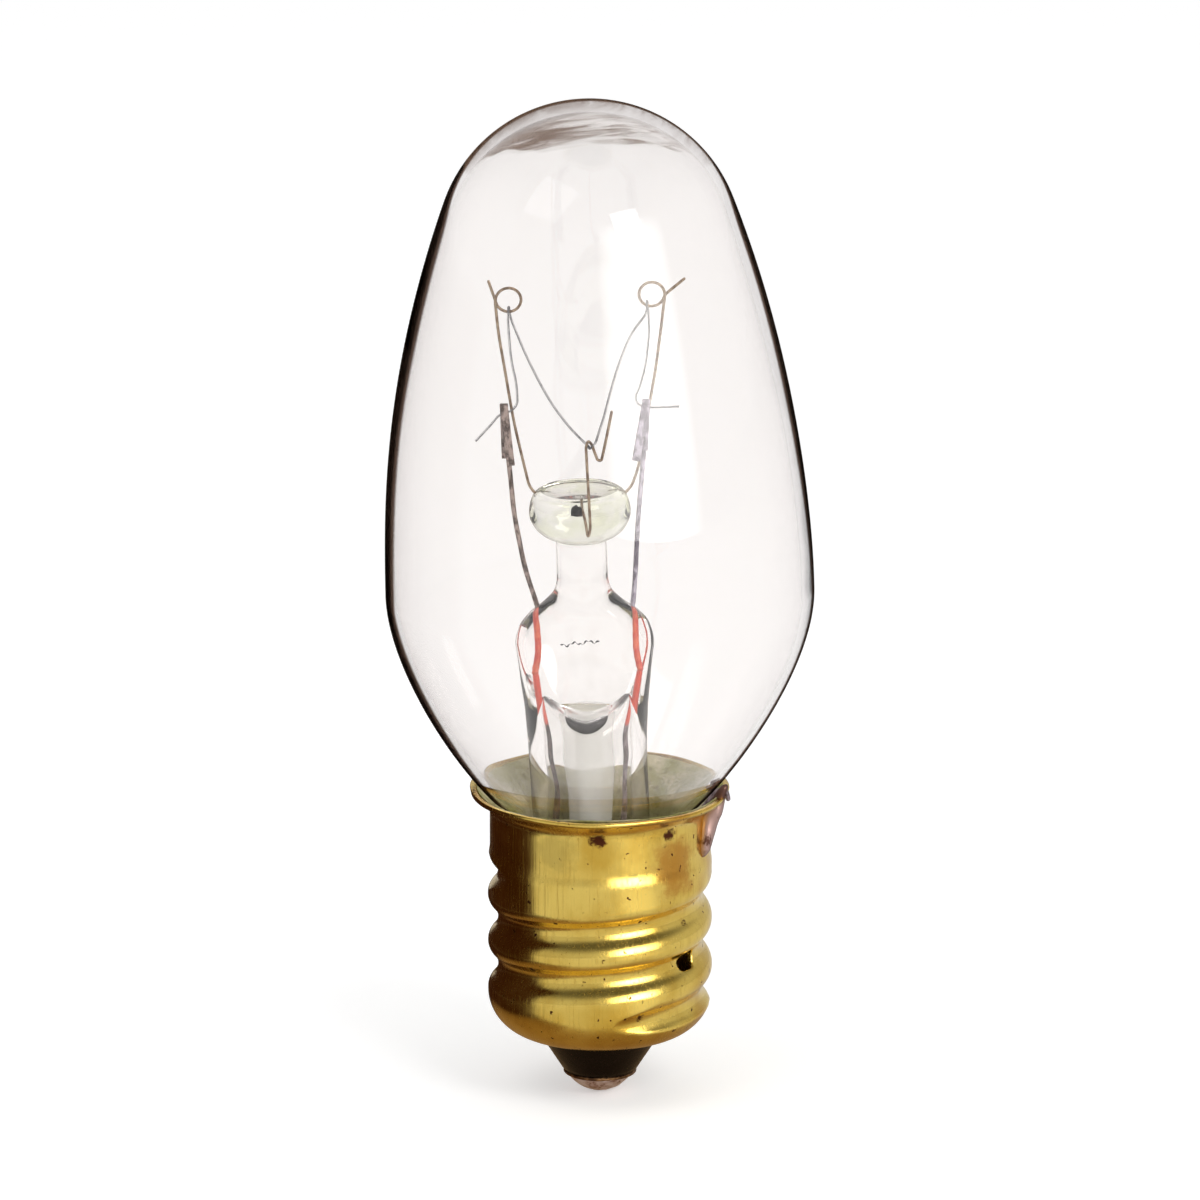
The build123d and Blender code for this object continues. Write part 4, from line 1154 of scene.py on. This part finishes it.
def build_floor():
    """White floor: plain diffuse for the light, and brighter for the camera, so that it
    is white where no shadow falls."""
    reach = 3000
    f = Finish("floor_white")
    plain = f.add("ShaderNodeBsdfDiffuse", {"Color": (0.8, 0.8, 0.8, 1.0)}).outputs["BSDF"]
    seen = f.seen(f.add("ShaderNodeLightPath").outputs)
    glow = f.add("ShaderNodeEmission", {"Strength": f.times(seen, 0.42)}).outputs["Emission"]
    both = f.add("ShaderNodeAddShader", {0: plain, 1: glow}).outputs["Shader"]
    card("floor", (0, 0, 0), (reach, 0, 0), (0, reach, 0), 2, f.covered(both), 1)


def soft_card(name, centre, across, up, colour, power):
    """A flat card seen only in reflections, which fades out at its border."""
    f = Finish(name)
    glow = f.add("ShaderNodeEmission", {"Color": (*colour, 1.0), "Strength": 1.0}).outputs["Emission"]
    clear = f.add("ShaderNodeBsdfTransparent").outputs["BSDF"]
    made = card(name, centre, across, up, 25, f.covered(f.either(f.mark(), clear, glow)), power)
    made.visible_camera = False
    made.visible_diffuse = False
    made.visible_transmission = False
    made.visible_shadow = False
    made.visible_volume_scatter = False


def way_to(azimuth, elevation):
    """Direction azimuth degrees to the right of the camera's side, and up by elevation."""
    a, e = radians(azimuth), radians(elevation)
    return np.array([sin(a) * cos(e), -cos(a) * cos(e), sin(e)])


def build_cards():
    """Cards seen only in reflections: dark ones at the left, a dark patch of floor round the
    cap that paints the cap's own shade on the floor into its reflections, a bright patch on
    the floor in front to the right, and a bright tall panel to the right of the camera."""
    dark, patch, white = (0.04, 0.014, 0.006), (0.3, 0.19, 0.09), (1.0, 0.97, 0.9)
    soft_card("card_left", (-24, 22, 22), (0, 35, 0), (0, 0, 26), dark, 24)
    # Painted shade: the cap's own shade on the floor, seen in its reflections.
    soft_card("card_floor_shade", (-2, 0, 0.06), (13, 0, 0), (0, 12, 0), patch, 4)
    soft_card("card_left_floor", (-15, 20, 0.05), (10, 0, 0), (0, 32, 0), dark, 14)
    soft_card("panel_floor", (27, -38, 0.05), (12, 8, 0), (16, -24, 0), white, 4)
    azimuth, elevation, far, half_width, half_height = 34, 11, 400.0, 205, 215
    centre = way_to(azimuth, elevation) * far + (0, 0, 20)
    across = way_to(azimuth + 90, 0) * half_width
    up = way_to(azimuth, elevation + 90) * half_height
    soft_card("panel_right", centre, across, up, (8.5, 8.3, 8.0), 2)


def build_world():
    """Even white studio: white behind the object, and in reflections a little darker
    towards the top."""
    world = bpy.data.worlds.new("studio")
    bpy.context.scene.world = world
    world.use_nodes = True
    n = Nodes(world.node_tree)

    def white(strength):
        glow = {"Color": (1, 1, 1, 1), "Strength": strength}
        return n.add("ShaderNodeBackground", glow).outputs["Background"]

    way = n.add("ShaderNodeTexCoord").outputs["Generated"]
    up = n.add("ShaderNodeSeparateXYZ", {"Vector": way}).outputs["Z"]
    rays = n.add("ShaderNodeLightPath").outputs
    mirrored = white(n.ramp(up, 0.3, 0.9, 0.58, 0.12))
    lit = n.either(rays["Is Glossy Ray"], white(0.62), mirrored)
    n.add("ShaderNodeOutputWorld", {"Surface": n.either(n.seen(rays), lit, white(1.0))})


def softbox(name, azimuth, elevation, distance, side, radiance):
    """Square lamp that faces the bulb, from azimuth degrees right of the camera's side."""
    lamp = bpy.data.lights.new(name, "AREA")
    lamp.shape = "RECTANGLE"
    lamp.size = lamp.size_y = side * MM
    lamp.energy = radiance * pi * lamp.size**2
    way = Vector(way_to(azimuth, elevation))
    holder = bpy.data.objects.new(name, lamp)
    holder.location = way * distance * MM + Vector((0, 0, 0.02))
    holder.rotation_euler = way.to_track_quat("Z", "Y").to_euler()
    holder.visible_glossy = False
    bpy.context.scene.collection.objects.link(holder)


def build_camera():
    """Long lens looking down 16 degrees at the middle of the bulb."""
    camera = bpy.data.cameras.new("camera")
    camera.sensor_width = 36
    camera.lens = camera.sensor_width * CAMERA_DISTANCE / VIEW_WIDTH
    camera.clip_start, camera.clip_end = 0.01, 20
    holder = bpy.data.objects.new("camera", camera)
    holder.location = (way_to(0, CAMERA_ELEVATION) * CAMERA_DISTANCE + (0, 0, AIM_HEIGHT)) * MM
    holder.rotation_euler = (pi / 2 - radians(CAMERA_ELEVATION), 0, 0)
    bpy.context.scene.collection.objects.link(holder)
    bpy.context.scene.camera = holder


build_envelope()
build_stem()
build_exhaust_tube()
build_cap()
build_cement()
build_insulator()
build_tip_solder()
build_side_solder()
build_leads()
build_tails()
build_supports()
build_filament()
dress_eyelet()
build_floor()
build_cards()
build_world()
softbox("key_light", 36, 38, 420, 150, 7.0)
softbox("fill_light", -50, 55, 500, 260, 1.5)
build_camera()
bpy.context.scene.view_settings.view_transform = "Standard"

bpy.context.view_layer.update()
